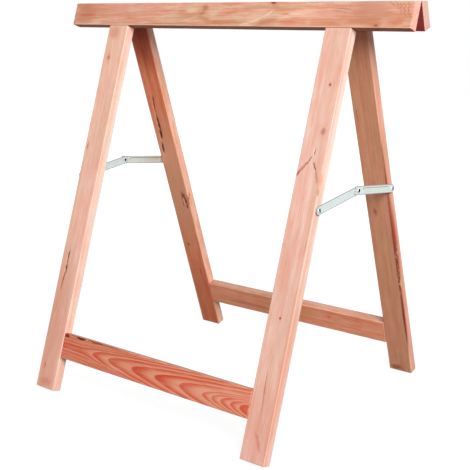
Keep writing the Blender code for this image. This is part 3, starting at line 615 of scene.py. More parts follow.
def tearEdges(name, points, low, high):      # slanting planes cut the corner away, roughly
    u, v, w = points.T
    for index, tear in enumerate(tears.get(name, [])):
        edgeV, edgeW = tornCorner(tear, low, high)
        start, end = sorted((tear["from"] * mm, tear["to"] * mm))
        fade = timberGrid["fade"]
        ramp = np.clip((u - start) / fade, 0, 1) * np.clip((end - u) / fade, 0, 1)
        # slow waves on every tear, and short ones as far as it is rough
        curve = wander(boards[name]["seed"] + 71 + index, 7)
        rough = 0.72 + 0.45 * curve(u, 0.05) + 0.30 * curve(u + 0.3 * w - 0.2 * v, 0.011) * tear["rough"]
        reach = tear["deep"] * mm * np.clip(rough, 0.12, 1.4) * ramp
        cut = np.clip(reach - np.abs(v - edgeV) - np.abs(w - edgeW), 0, None) * 0.5
        cut = cut * (1 + 0.25 * curve(u * 1.7 + v * 2.1 - w * 3.1, 0.006))
        points[:, 1:] -= np.sign(tear["edge"]) * cut[:, None]


def makeBoard(name):
    wood = boards[name]
    side = front if name.startswith("front") else back
    leg, ridge = name.endswith("leg"), "ridge" in name
    box = toFrame(side, nodePoints(name))
    if leg:                                  # put the grain first: along, across, through
        box = box[:, [1, 0, 2]]
    low, high = box.min(0), box.max(0)
    arris = timberGrid["arris"]
    rows = zip(low, high, timberGrid["steps"], fineZones(name, low, high), timberGrid["fineSteps"])
    points, faces = gridBox([spread(*row, arris) for row in rows])
    points, outward = easeEdges(points, low, high, arris)
    depth = dents(name, points, outward)
    tearEdges(name, points, low, high)
    sway = wander(wood["seed"] + 5)(points[:, 0] + points[:, 1] * 0.7, 0.19)
    depth += timberGrid["planer"] * (sway + 1)
    points = points - outward * depth[:, None]
    x, up, out = (points[:, 1], points[:, 0], points[:, 2]) if leg else points.T
    if ridge:                                # plane the top level: squeeze the height under it
        bottom, tall = low[1], high[1] - low[1]
        topUp = (stance["ridgeLevel"] - stance["pinHeight"] - out * sinLean) / cosLean
        up = bottom + (up - bottom) * (topUp - bottom) / tall
    mesh = newMesh(name + "_timber", np.column_stack(toWorld(side, x, up, out)).tolist(), faces)
    if leg == (side == front):               # swapping or mirroring the axes once turns the faces over
        mesh.flip_normals()
    if ridge:
        mesh = carve(mesh, knuckleNotches(side))
        mesh.name = name + "_timber"
    rest = toFrame(side, pointsOf(mesh))
    rest = rest[:, [1, 0, 2]] if leg else rest
    rest[:, 2] -= (high[2] + low[2]) / 2
    storeVectors(mesh, "grain", rest)
    finishMesh(mesh, [timberFinish(name, low, high)], timberGrid["sharpAngle"])
    return newObject(name + "_timber", mesh)


# For each noise: its scale along, across and through the grain, how many times the board's seed shifts it
# on each of these, its detail and its roughness
grainNoises = {
    "swing": ((6, 18, 18), (3.7, 0, 1), 2.0, 0.45),
    "ragged": ((260, 260, 60), (0, 0, 1), 2.0, 0.5),
    "fibre": ((14, 900, 900), (0, 0, 1), 2.0, 0.6),
    "streak": ((6, 300, 300), (1, 0, 0), 2.0, 0.6),
    "blotch": ((20, 95, 95), (1, 0, 0), 3.0, 0.62),
    "stain": ((5, 24, 24), (0, 1, 0), 2.0, 0.5),
    "canal": ((45, 1300, 1300), (1, 0, 0), 1.0, 0.5),
    "fray": ((40, 260, 260), (1, 0, 0), 2.0, 0.6),
    "splinter": ((120, 700, 700), (0, 0, 0), 3.0, 0.7),
}
timberLook = {
    "endGrain": (0.0009, 0.0003), "rubbedHighlitEdge": (0.0026, 0.0008),     # in from the surface, from and to
    "innerFace": (0.0006, 0.0016), "sideFace": (0.0006, 0.0001), "underside": (0.0001, 0.0006),
    "fray": (0.016, 0.0026, 0.0),            # how far marks are frayed along and across the grain
    "rise": (0.30, 0.92), "fall": (0.955, 1.0),        # where in a year's ring the dark wood comes and ends
    "wavering": (90.0, 2.4),                 # how soon the width of the rings changes, and by how much
    "bands": (120.0, 1.6), "swing": 3.4,     # how fine the bands are outwards and along; how far tones swing
    "spot": (0.25, 1.15), "line": (0.45, 1.0),         # a mark fades from here to here, by its size
    "broken": (0.16, 0.40),                  # what of the ragged noise breaks a line up
    # a torn edge's raw wood fades from here to here, by its depth, with a ragged border and pale splinters
    "torn": (0.75, 1.35), "tornRagged": 0.002, "tornAmount": 0.9, "splinters": (0.50, 0.64),
    "bump": 0.00022, "gloss": 0.28,
}
knotLook = {                                 # distances are from a knot's middle, by its size
    "stretch": 1.35, "ragged": 0.7, "inward": 0.6,     # along the grain; its outline; how far in it fades
    "heart": (0.2, 0.8), "disc": (0.8, 1.1), "halo": (1.1, 3.4),       # each fades from here to here
    "rim": 14.0,                             # how thin the dark line round it is
    "rings": (6.0, 900),                     # its own rings: how close they are, and closer by its size
    "push": 1.6, "largest": 0.008,           # how far it pushes the board's rings; no further past this size
    "ease": 0.16,                            # how soon that ends around it
}


class TimberNet(Net):                        # the nodes of one board's wood
    def __init__(self, tree, name, low, high):
        super().__init__(tree)
        self.name, self.wood, self.low, self.high = name, boards[name], low, high
        self.middle, self.half = (low + high) / 2, (high - low) / 2
        self.grain = self.add("Attribute", {"attribute_name": "grain"}, (), "Vector")
        self.axes = self.split(self.grain)   # along the grain, across it and through the board
        self.ragged = self.grained("ragged")

    def grained(self, label, output="Fac"):  # a noise that is drawn out along the grain
        scale, shift, detail, rough = grainNoises[label]
        shift = [self.wood["seed"] * share for share in shift]
        return self.noise(self.vectors("MULTIPLY_ADD", self.grain, scale, shift), detail, rough, output)

    def radius(self):                        # how far from the heart of the log, which swings slowly
        wood, (u, v, w) = self.wood, self.axes
        along = u - self.middle[0]
        if "settle" in wood:                 # from here on the heart runs along with the board
            along = self.maths("SMOOTH_MAX", along, wood["settle"], 0.03)
        bends = self.split(self.grained("swing", "Color"))
        ringV, ringW = [place - pith * mm - along * (drift * mm) + (bend - 0.5) * wood["wave"] * mm
                        for place, pith, drift, bend in
                        zip((v - self.middle[1], w), wood["pith"], wood["drift"], bends)]
        if "squash" in wood:
            ringV = ringV * (u * wood["squash"][1] + wood["squash"][0])
        return self.maths("SQRT", ringV * ringV + ringW * ringW)

    def knots(self):                         # how far they push the rings aside, and masks for their tones
        u, v, w = self.axes
        push, disc, rim, heart, halo = 0.0, 0.0, 0.0, 0.0, 0.0
        for knot in self.wood["knots"]:
            size, dark = knot["size"] * mm, knot["dark"]
            du = (u - knot["at"][0] * mm) / knotLook["stretch"]
            dv = v - knot["at"][1] * mm
            gap = self.maths("SQRT", du * du + dv * dv) / size + (self.ragged - 0.5) * knotLook["ragged"]
            # the branch dies out inside the board
            deep = self.step(w * facing(self.wood), -self.half[2], self.half[2] * knotLook["inward"])
            pushed = min(size, knotLook["largest"]) * knotLook["push"]
            push = push + self.maths("EXPONENT", gap * gap * -knotLook["ease"]) * pushed * deep
            close, closer = knotLook["rings"]
            rings = self.maths("SINE", gap * (close + size * closer)) * 0.5 + 0.5
            inside = (1 - self.step(gap, *knotLook["disc"])) * deep * (0.6 + 0.4 * rings)
            edge = self.maths("EXPONENT", (gap - 1.0) * (gap - 1.0) * -knotLook["rim"]) * deep
            disc = self.maths("MAXIMUM", inside * dark, disc)
            rim = self.maths("MAXIMUM", edge * dark ** 2 * 0.8, rim)
            core = (1 - self.step(gap, *knotLook["heart"])) * deep * dark ** 2
            heart = self.maths("MAXIMUM", core, heart)
            halo = self.maths("MAXIMUM", (1 - self.step(gap, *knotLook["halo"])) * deep * dark, halo)
        return push, disc, rim, heart, halo

    def countRings(self, radius, push):      # growth rings from the heart out, pushed aside by knots
        wood, pushed = self.wood, radius + push
        if "rings" not in wood:
            fine, amount = timberLook["wavering"]
            uneven = self.noise(self.join(radius * fine, wood["seed"], 0.0)) * amount
            return pushed / (wood["spacing"] * mm) + uneven
        rings, count = wood["rings"], len(wood["rings"]) - 1
        near, far = rings[0] * mm, rings[-1] * mm
        curve = [((ring - rings[0]) / (rings[-1] - rings[0]), i / count) for i, ring in enumerate(rings)]
        share = (pushed - near) / (far - near)
        return self.add("FloatCurve", {"curve": curve}, {"Value": share}, "Value") * count

    def lateWood(self, radius, push):        # pale in spring, darker in summer, then a sharp edge
        ringCount = self.countRings(radius, push)
        part = self.maths("FRACT", ringCount)
        year = self.maths("FLOOR", ringCount) + self.wood["seed"]
        yearly = self.add("TexWhiteNoise", {"noise_dimensions": "1D"}, {"W": year}, "Value")
        late = self.step(part, *self.wood.get("rise", timberLook["rise"]))
        late = late * (1 - self.step(part, *timberLook["fall"]))
        return late * (1.0 - self.wood.get("uneven", 0.4) * yearly)

    def tinted(self, colour, sides, ends):   # each face by its own tint, which paints light and shade on the faces
        v, w = self.axes[1:]
        tintsAndPaintedLight = self.wood["tintAndPaintedLight"]
        faces = {"inner": 1 - self.step(w, *[depth - self.half[2] for depth in timberLook["innerFace"]]),
                 "sides": self.step(sides, *[self.half[1] - depth for depth in timberLook["sideFace"]]),
                 "below": 1 - self.step(v - self.low[1], *timberLook["underside"]), "ends": ends}
        tintAndPaintedLight = [*tintsAndPaintedLight.get("main", (1, 1, 1)), 1]
        for face, mask in faces.items():
            if face in tintsAndPaintedLight:
                tintAndPaintedLight = self.mix(mask, tintAndPaintedLight, [*tintsAndPaintedLight[face], 1])
        return self.mix(1.0, colour, tintAndPaintedLight, "MULTIPLY")

    def marked(self, colour):                # stains, streaks and cracks, with edges frayed along the grain
        fray = self.vectors("SUBTRACT", self.grained("fray", "Color"), (0.5, 0.5, 0.5))
        frayed = self.vectors("MULTIPLY_ADD", fray, timberLook["fray"], self.grain)
        hollow = 0.0
        for mark in marks[self.name]:
            (along, across), (long, wide), turn = ellipseOf(mark)
            level = facing(self.wood) * (self.half[2] - mark.get("deep", 0) * mm)
            local = self.add("Mapping", {"vector_type": "TEXTURE"}, {
                "Vector": frayed, "Location": (along * mm, across * mm, level),
                "Rotation": (0.0, 0.0, turn), "Scale": (long * mm, wide * mm, mark.get("through", 4) * mm)})
            gap = self.vectors("LENGTH", local, output="Value")
            fades = timberLook["line" if "from" in mark else "spot"]
            mask = (1 - self.step(gap, *fades)) * mark["amount"]
            if "from" in mark and "whole" not in mark:
                mask = mask * self.step(self.ragged, *timberLook["broken"])
            colour = self.mix(mask, colour, mark["tone"])
            if "groove" in mark:
                hollow = self.maths("MAXIMUM", mask, hollow)
        return colour, hollow

    def torn(self, colour):                  # torn edges: raw dark wood with pale splinters
        u, v, w = self.axes
        for tear in tears.get(self.name, []):
            edgeV, edgeW = tornCorner(tear, self.low, self.high)[0], self.half[2] * tear["edge"][1]
            near = self.maths("ABSOLUTE", v - edgeV) + self.maths("ABSOLUTE", w - edgeW)
            begin, finish = sorted((tear["from"] * mm, tear["to"] * mm))
            fade, wide = timberGrid["fade"], tear["deep"] * mm
            inside = self.step(u, begin, begin + fade) * (1 - self.step(u, finish - fade, finish))
            near = near + (self.ragged - 0.5) * timberLook["tornRagged"]
            mask = (1 - self.step(near, *[wide * share for share in timberLook["torn"]])) * inside
            raw = self.mix(self.step(self.grained("splinter"), *timberLook["splinters"]), *tear["tones"])
            colour = self.mix(mask * timberLook["tornAmount"], colour, raw)
        return colour


def timberFinish(name, low, high):
    material, net = newMaterial(name + "_larch")
    net = TimberNet(net.tree, name, low, high)
    wood, look, (u, v, w) = boards[name], timberLook, net.axes
    radius = net.radius()
    push, disc, rim, heart, halo = net.knots()
    late = net.lateWood(radius, push)
    fibre, canal = net.grained("fibre"), net.step(net.grained("canal"), 0.66, 0.78)
    outwards, onwards = look["bands"]
    band = net.noise(net.join(radius * outwards, u * onwards + wood["seed"], 0.0), 2.0, 0.6)

    # the wood's own tones come from the two that its board is given
    early, summer = wood["early"], wood["late"]
    pale = [min(250, early[0] + 14), min(228, early[1] + 26), min(212, early[2] + 30)]
    rosy = [min(248, early[0] + 4), early[1] - 6, early[2] + 2]
    warm = [summer[0] + 6, summer[1] - 6, summer[2] - 12]
    olive = [early[0] - 34, early[1] - 22, early[2] - 34]
    dark = [value * share for value, share in zip(summer, (0.46, 0.30, 0.28))]
    brown = [value * share for value, share in zip(summer, (0.80, 0.60, 0.52))]
    colour = net.mix(late * wood["contrast"], early, summer)
    swings = ((band, 0.55, pale, warm), (net.grained("streak"), 0.60, rosy, summer),
              (net.grained("blotch"), 0.60, pale, warm), (net.grained("stain"), 0.55, rosy, olive))
    for noise, gain, above, below in swings:
        gain = gain * wood["lively"]
        colour = net.mix(net.over(noise, 0.5, look["swing"]) * gain, colour, above)
        colour = net.mix(net.over(0.5 - noise, 0.0, look["swing"]) * gain, colour, below)

    # end grain drinks the oil and shows the rings plainly, and eased edges are paler: partly rubbed wear and
    # partly a painted highlight along the arris
    halfU, halfV, halfW = net.half
    sides = net.maths("ABSOLUTE", v - net.middle[1])
    ends = net.step(net.maths("ABSOLUTE", u - net.middle[0]), *[halfU - depth for depth in look["endGrain"]])
    rubbedAndHighlit = net.step(sides, *[halfV - depth for depth in look["rubbedHighlitEdge"]])
    rubbedAndHighlit = rubbedAndHighlit * net.step(net.maths("ABSOLUTE", w), *[halfW - depth for depth in look["rubbedHighlitEdge"]])
    layers = ((net.over(fibre, 0.5, 2.4) * 0.25, summer), (canal * 0.30, dark),
              (halo * 0.5, warm), (disc * 0.85, brown), (rim * 0.7, dark),
              (heart, [value * 0.8 for value in dark]),
              (ends * 0.8, net.mix(late * 0.75, pale, summer)),
              (rubbedAndHighlit * wood.get("rubbedAndHighlit", 0.15), [min(252, value + 12) for value in pale]))
    for mask, tone in layers:
        colour = net.mix(mask, colour, tone)
    colour = net.tinted(colour, sides, ends)
    colour, hollow = net.marked(colour)
    colour = net.torn(colour)
    height = late * 0.35 + fibre * 0.5 + canal * -0.3 + hollow * -0.8 + net.ragged * 0.1
    roughness = 0.66 - late * 0.10 + disc * -0.12 + fibre * 0.06
    return net.close(material, colour, roughness, height, look["bump"], gloss=look["gloss"])


for boardName in boards:
    board = makeBoard(boardName)
    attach(board, bodyOf(boardName))
    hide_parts(boardName)
print("timber: %d boards" % len(boards))


# Metal

zinc = {
    "cloud": 60.0, "grain": 900.0, "spots": 240.0,     # how fine its noises are
    "clouded": (0.35, 1.6), "spotted": (0.60, 0.74), "spotTone": 0.82, "spotAmount": 0.25,
    "metallic": 0.5, "bump": 0.00003,
    # on a pressed arm, in metres: in from its rim, out from the foot of its rib, or across it. "slope" has
    # the place of its middle and how narrow it is
    # on the arm these paint light and shade: shade along the rims, a shadow in the rib's upper slope and
    # highlights on its lower slope and the upper flange
    "shearedAndShaded": (0.0006, 0.0020), "panel": (-0.0012, -0.0006), "slope": (-0.0005, 2.4e6),
    "flangeStart": (0.0001, 0.0006), "flangeEnd": (0.0026, 0.0036), "upperHalf": (-0.001, 0.001),
}


def zincFinish(name, tone, dull, roughness, arm=False):
    material, net = newMaterial(name)
    place = net.add("TexCoord", (), (), "Object")
    cloud = net.noise(place, 3.0, 0.55, scale=zinc["cloud"])
    grainy = net.noise(place, 2.0, 0.6, scale=zinc["grain"])
    spots = net.step(net.noise(place, scale=zinc["spots"]), *zinc["spotted"])
    colour = net.mix(net.over(cloud, *zinc["clouded"]), tone, dull)
    colour = net.mix(spots * zinc["spotAmount"], colour, [value * zinc["spotTone"] for value in dull])
    rough = roughness + cloud * 0.12 + spots * 0.1
    if arm:                                  # rims greyer where sheared and darker as painted shade; painted shadow and highlight on the rib's slopes, painted highlight on the upper flange; greener rib panel
        rim, rib, across = net.split(net.add("Attribute", {"attribute_name": "form"}, (), "Vector"))
        middle, narrow = zinc["slope"]
        slope = net.maths("EXPONENT", (rib - middle) * (rib - middle) * -narrow)
        upper = net.step(across, *zinc["upperHalf"])
        panel = 1 - net.step(rib, *zinc["panel"])
        litUpperFlange = net.step(rib, *zinc["flangeStart"]) * (1 - net.step(rib, *zinc["flangeEnd"])) * upper
        shearedAndShaded = 1 - net.step(rim, *zinc["shearedAndShaded"])
        # the rib's panel a greener tint; painted highlights on the upper flange and the rib's lower slope,
        # painted shadow in its upper slope, painted shade on the rims
        pressed = ((panel * 0.6, (208, 224, 208)), (litUpperFlange * 0.7, (236, 234, 214)),
                   (slope * upper * 0.85, (96, 116, 104)), (slope * (1 - upper) * 0.5, (250, 252, 250)),
                   (shearedAndShaded * 0.7, (120, 124, 130)))
        for mask, shadeOfZinc in pressed:
            colour = net.mix(mask, colour, shadeOfZinc)
        rough = rough + shearedAndShaded * 0.2
    height = grainy * 0.6 + cloud * 0.4
    return net.close(material, colour, rough, height, zinc["bump"], zinc["metallic"])


def pitFinish():                             # dirt and shade at the bottom of recesses
    material, net = newMaterial("recess_grime")
    cloud = net.noise(net.add("TexCoord", (), (), "Object"), 2.0, 0.6, scale=700.0)
    return net.close(material, net.mix(cloud, (8, 9, 14), (4, 4, 8)), 0.8, cloud, 0.00005, gloss=0.05)


def woodPegFinish():
    material, net = newMaterial("dowel_beech")
    place = net.vectors("MULTIPLY", net.add("TexCoord", (), (), "Object"), (700, 700, 120))
    fleck = net.noise(place, 3.0, 0.6)
    colour = net.mix(net.over(fleck, 0.3, 2.0), (214, 176, 130), (184, 140, 98))
    return net.close(material, colour, 0.6, fleck, 0.0001)


armZinc = zincFinish("arm_zinc", (218, 226, 225), (203, 213, 213), 0.42, True)
plateZinc = zincFinish("plate_zinc", (226, 233, 230), (205, 216, 211), 0.34)
screwZinc = zincFinish("screw_zinc", (232, 238, 238), (214, 222, 224), 0.30)
grimeAndShade = pitFinish()
beechPeg = woodPegFinish()

# The stay's arms are pressed from strip. An arm is told in its own axes, in metres: along it from the
# screw, across it, and out from the side of the leg
stay = {
    "screw": (0.2795, 0.125793, 0.412334), "rise": math.radians(6.755), "length": 0.126673,
    "width": 0.016, "thickness": 0.0012, "frontLayer": 0.0014, "backLayer": 0.0031, "edge": 0.0003,
    "tail": 0.009, "tailCorner": 0.002, "ribWidth": 0.0095, "ribHeight": 0.0010, "ribSlope": 0.0011,
    "ribMargin": 0.014, "ribWall": 0.0009, "hole": 0.0026, "rivetHole": 0.0027,
    "lug": {"from": 0.0020, "to": 0.0080, "gap": 0.0003, "thickness": 0.0012, "low": 0.0014, "high": 0.0041,
            "radius": 0.0004, "step": 0.0006},
    "step": 0.0016,              # of the mesh along the arm
    "roundAngles": (8, 16, 26, 36, 47, 58, 70, 80),          # where the mesh goes round the ends
    "acrossAngles": (90, 76, 66, 57, 48, 40, 32, 24, 16, 8, 0),
    "holeSides": 32, "sharpAngle": 38,
    "noRim": 0.002, "noRib": 0.02,           # so far in from the rim and off the rib none of their painted light and shade shows
    "pastRim": 0.00005, "tailEnd": 0.0006,   # what lies past the rim or on the tail's end gets no painted rim shade either
}


def armPlace(side, end):                     # from an arm's own axes to the world
    x, y, z = stay["screw"]
    sinRise, cosRise = math.sin(stay["rise"]), math.cos(stay["rise"])

    def place(along, across, out):
        return (end * (x + out), side * (y - along * cosRise + across * sinRise),
                z + along * sinRise + across * cosRise)
    return place


def armShape(side, along, across):           # how far inside the outline, and how far outside the rib
    half, length = stay["width"] / 2, stay["length"]
    if side == front:                        # round at both ends and flat, so the rib is far away
        inside = half - np.hypot(along - np.clip(along, 0, length), across)
        return inside, np.full_like(inside, stay["noRib"])
    corner, end = stay["tailCorner"], length + stay["tail"]
    roundEnd = half - np.hypot(np.minimum(along, 0), across)
    gapA = np.maximum(along - (end - corner), 0)
    gapC = np.maximum(np.abs(across) - (half - corner), 0)
    square = np.minimum(corner - np.hypot(gapA, gapC), np.minimum(end - along, half - np.abs(across)))
    inside = np.where(along < length / 2, roundEnd, square)
    ribHalf = stay["ribWidth"] / 2
    first, last = stay["ribMargin"] + ribHalf, length - stay["ribMargin"] - ribHalf
    return inside, np.hypot(along - np.clip(along, first, last), across) - ribHalf


def halfWidth(side, along):
    half, length = stay["width"] / 2, stay["length"]
    if along < 0:
        return math.sqrt(max(half ** 2 - along ** 2, 0))
    if side == front:
        return math.sqrt(max(half ** 2 - max(along - length, 0) ** 2, 0))
    corner, end = stay["tailCorner"], length + stay["tail"]
    over = max(along - end + corner, 0)
    return half - corner + math.sqrt(max(corner ** 2 - over ** 2, 0))


def armLines(side):                          # the mesh's stations along an arm, and its shares of the width
    half = stay["width"] / 2
    tail, corner = (half, half) if side == front else (stay["tail"], stay["tailCorner"])
    straight = stay["length"] + tail - corner
    turns = [math.cos(math.radians(angle)) for angle in stay["roundAngles"]]
    count = round(straight / stay["step"])
    stations = [-half * turn for turn in turns] + [straight + corner * turn for turn in turns]
    stations += [straight * i / count for i in range(count + 1)]
    shares = [math.sin(math.radians(-angle)) for angle in stay["acrossAngles"]]
    return sorted(stations), shares + [-share for share in reversed(shares[:-1])]


def armSheet(side, inner):                   # a closed strip: outer skin, under skin and the wall round them
    stations, shares = armLines(side)
    along = np.array([[station] * len(shares) for station in stations])
    across = np.array([[halfWidth(side, station) * share for share in shares] for station in stations])
    inside, outsideRib = armShape(side, along, across)
    edge = stay["edge"]
    drop = np.clip(edge - inside, 0, edge)
    rounding = edge - np.sqrt(np.clip(edge ** 2 - drop ** 2, 0, None))

    def rib(offset):
        share = np.clip(-(outsideRib + offset) / stay["ribSlope"], 0, 1)
        return stay["ribHeight"] * share * share * (3 - 2 * share)
    outer = inner + stay["thickness"] - rounding + rib(0.0)
    under = inner + rounding + rib(stay["ribWall"] * 0.8)
    points = np.vstack([np.column_stack((along.ravel(), across.ravel(), level.ravel()))
                        for level in (outer, under)])
    rows, columns = along.shape
    number = np.arange(rows * columns).reshape(rows, columns)
    below = number + rows * columns
    faces = []
    for i in range(rows - 1):
        for j in range(columns - 1):
            faces.append((number[i, j], number[i + 1, j], number[i + 1, j + 1], number[i, j + 1]))
            faces.append((below[i, j], below[i, j + 1], below[i + 1, j + 1], below[i + 1, j]))
    loop = [(0, j) for j in range(columns)] + [(i, columns - 1) for i in range(1, rows)]
    loop += [(rows - 1, j) for j in range(columns - 2, -1, -1)] + [(i, 0) for i in range(rows - 2, 0, -1)]
    for one, two in zip(loop, loop[1:] + loop[:1]):
        faces.append((number[one], number[two], below[two], below[one]))
    return newMesh("arm", points.tolist(), [[int(n) for n in face] for face in faces])


def lugMesh():                               # the tab folded over the front arm's top edge
    lug = stay["lug"]
    radius, step = lug["radius"], lug["step"]
    bottom = stay["width"] / 2 + lug["gap"]
    low = np.array([lug["from"], bottom, lug["low"]])
    high = np.array([lug["to"], bottom + lug["thickness"], lug["high"]])
    points, faces = gridBox([spread(low[i], high[i], step, [], step, radius) for i in range(3)])
    x, y, z = easeEdges(points, low, high, radius)[0].T
    turn = -2 * stay["rise"]
    along = stay["length"] + x * math.cos(turn) - y * math.sin(turn)
    across = x * math.sin(turn) + y * math.cos(turn)
    return newMesh("lug", np.column_stack((along, across, z)).tolist(), faces)


def makeArm(side, end):
    inner = stay["frontLayer"] if side == front else stay["backLayer"]
    mesh = armSheet(side, inner)
    if side == back:
        mesh = carve(mesh, [lugMesh()], "UNION")
    under, above = inner - 0.002, inner + 0.004        # the holes are cut well through the sheet
    mesh = carve(mesh, [rodMesh(roundOutline(size, stay["holeSides"]), under, above,
                                lambda a, b, level: (middle + a, b, level))
                        for middle, size in ((0.0, stay["hole"]), (stay["length"], stay["rivetHole"]))])
    co = pointsOf(mesh)
    inside, outsideRib = armShape(side, co[:, 0], co[:, 1])
    tail = stay["width"] / 2 if side == front else stay["tail"]
    beyond = co[:, 0] > stay["length"] + tail - stay["tailEnd"]
    plain = (inside < -stay["pastRim"]) | beyond       # the lug and the tail's end get no painted rim shade, like the face
    inside = np.where(plain, stay["noRim"], inside)
    storeVectors(mesh, "form", np.column_stack((inside, outsideRib, co[:, 1])))
    world = np.column_stack(armPlace(side, end)(co[:, 0], co[:, 1], co[:, 2]))
    mesh.vertices.foreach_set("co", world.astype(np.float32).ravel())
    if side * end > 0:                       # the arms on one diagonal are mirrored
        mesh.flip_normals()
    finishMesh(mesh, [armZinc], stay["sharpAngle"])
    name = "%s_stay_%s_arm" % ("right" if end > 0 else "left", "front" if side == front else "back")
    piece = newObject(name + "_pressed", mesh)
    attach(piece, bodyOf(name))
    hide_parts(name)


for side in (front, back):
    for end in (-1, 1):
        makeArm(side, end)
print("stays: 4 pressed arms")

# Screws, rivets and washers are turned shapes. A profile runs from the tip or the inside to the head, as
# (radius, height) in millimetres, with height 0 on the face that the fastener's places lie on
frontSeat, backSeat = 2.9, 4.6
screwShank = [(0, -30), (1.0, -27.4), (2.3, -24.5)]


def roundHead(seat):
    return screwShank + [(2.3, seat), (4.6, seat), (4.8, seat + 0.2), (4.75, seat + 0.55), (4.4, seat + 0.9),
                         (3.6, seat + 1.2), (2.4, seat + 1.35), (0, seat + 1.4)]


profiles = {
    "frontStayScrew": roundHead(frontSeat),
    "backStayScrew": roundHead(backSeat),
    "hingeScrew": [(0, -14.2), (0.5, -13.0), (1.4, -10.6), (1.4, -1.4), (2.7, -0.15), (2.8, -0.05), (2.75, 0),
                   (0, 0)],
    "rivetHead": [(0, 3.0), (2.4, 3.0), (2.4, backSeat), (4.6, backSeat), (4.75, 4.8), (4.7, 5.3), (4.3, 5.8),
                  (3.8, 5.95), (3.4, 5.85), (2.9, 5.6), (2.2, 5.4), (1.2, 5.3), (0, 5.3)],
    "rivetTail": [(0, 1.15), (1.4, 1.1), (2.0, 0.95), (2.4, 0.78), (2.9, 0.7), (3.4, 0.75), (3.9, 0.85),
                  (4.0, 0.95), (3.9, 1.1), (2.4, 1.1), (2.4, 2.7), (0, 2.7)],
    "frontWasher": [(2.6, 1.1), (6.85, 1.1), (7.0, 1.0), (7.0, 0.4), (6.85, 0.3), (2.6, 0.3), (2.6, 1.1)],
    "backSpacer": [(2.6, 2.8), (6.8, 2.8), (7.0, 2.6), (7.0, 0.5), (6.8, 0.3), (2.6, 0.3), (2.6, 2.8)],
}
lathe = {
    "facets": 40, "steps": 32,               # the float curves are exact where steps is a power of two
    "hollows": {"rivetHead": (8, 12), "rivetTail": (0, 4)},   # the profile's points, from and to, painted near black as shade
    "inputs": {"Places": "Geometry", "Scale": "Float", "Facets": "Int", "Recess Reach": "Float",
               "Recess Width": "Float", "Recess Depth": "Float", "Cross Share": "Float",
               "Metal": "Material", "Grime": "Material"},
    "sharpAngle": 40,
}
# The cross in a head: how far its long bar reaches, its width and depth, and the share of the long bar
# that the other one has
recesses = {
    "stay": (0.0037, 0.0044, 0.0013, 0.45), "hinge": (0.0015, 0.0006, 0.0010, 1.0),
    "none": (0.0, 0.001, 0.001, 1.0),
}


def evenProfile(profile):                    # adds points on the longest runs until the steps are full
    profile = [Vector(point) for point in profile]
    while len(profile) <= lathe["steps"]:
        runs = [(after - before).length for before, after in zip(profile, profile[1:])]
        longest = runs.index(max(runs))
        profile.insert(longest + 1, (profile[longest] + profile[longest + 1]) / 2)
    return profile


def turnedBody(net, given, name, profile):   # a sheet rolled round the axis, to the profile's two curves
    points = evenProfile(profile)
    steps = len(points) - 1
    wide = max(point[0] for point in points)
    low, high = min(point[1] for point in points), max(point[1] for point in points)
    radiusCurve = [(i / steps, point[0] / wide) for i, point in enumerate(points)]
    heightCurve = [(i / steps, (point[1] - low) / (high - low)) for i, point in enumerate(points)]
    sheet = net.geometry("MeshGrid", {"Size X": 1.0, "Size Y": 1.0, "Vertices X": given["Facets"] + 1,
                                      "Vertices Y": steps + 1}, "Mesh")
    x, y = net.split(net.add("GeometryNodeInputPosition"))[:2]
    turn, share = (x + 0.5) * (2 * math.pi), y + 0.5
    radius = net.add("FloatCurve", {"curve": radiusCurve}, {"Value": share}, "Value") * (wide * mm)
    height = net.add("FloatCurve", {"curve": heightCurve}, {"Value": share}, "Value")
    height = height * ((high - low) * mm) + low * mm
    rolled = net.join(radius * net.maths("COSINE", turn), radius * net.maths("SINE", turn), height)
    body = net.geometry("SetMaterial", {"Geometry": sheet, "Material": given["Metal"]})
    if name in lathe["hollows"]:             # materials come first: rolling moves what the share is read from
        begin, finish = (points.index(Vector(profile[i])) / steps for i in lathe["hollows"][name])
        inHollow = net.maths("GREATER_THAN", share, begin) * net.maths("LESS_THAN", share, finish)
        body = net.geometry("SetMaterial", {"Geometry": body, "Selection": inHollow,
                                            "Material": given["Grime"]})
    body = net.geometry("SetPosition", {"Geometry": body, "Position": rolled})
    return net.geometry("MergeByDistance", {"Geometry": body, "Distance": 0.000001})


def crossed(net, given, body, top):          # the cross recess: two bars cut into the head, one longer
    bars = []
    for long, short, part in ((1, 0, 1.0), (0, 1, given["Cross Share"])):
        reach, width = given["Recess Reach"] * 2.0 * part, given["Recess Width"]
        size = net.join(reach * long + width * short, reach * short + width * long,
                        given["Recess Depth"] * 2.0)
        bar = net.geometry("MeshCube", {"Size": size}, "Mesh")
        bar = net.geometry("Transform", {"Geometry": bar, "Translation": (0.0, 0.0, top)})
        # the recess's walls are painted near black as shade
        bars.append(net.geometry("SetMaterial", {"Geometry": bar, "Material": given["Grime"]}))
    cut = net.geometry("MeshBoolean", {"Mesh 1": body, "Mesh 2": bars}, "Mesh",
                       {"operation": "DIFFERENCE", "solver": "EXACT"})
    wanted = net.maths("GREATER_THAN", given["Recess Reach"], 0.0)
    return net.geometry("Switch", {"Switch": wanted, "False": body, "True": cut}, "Output",
                        {"input_type": "GEOMETRY"})


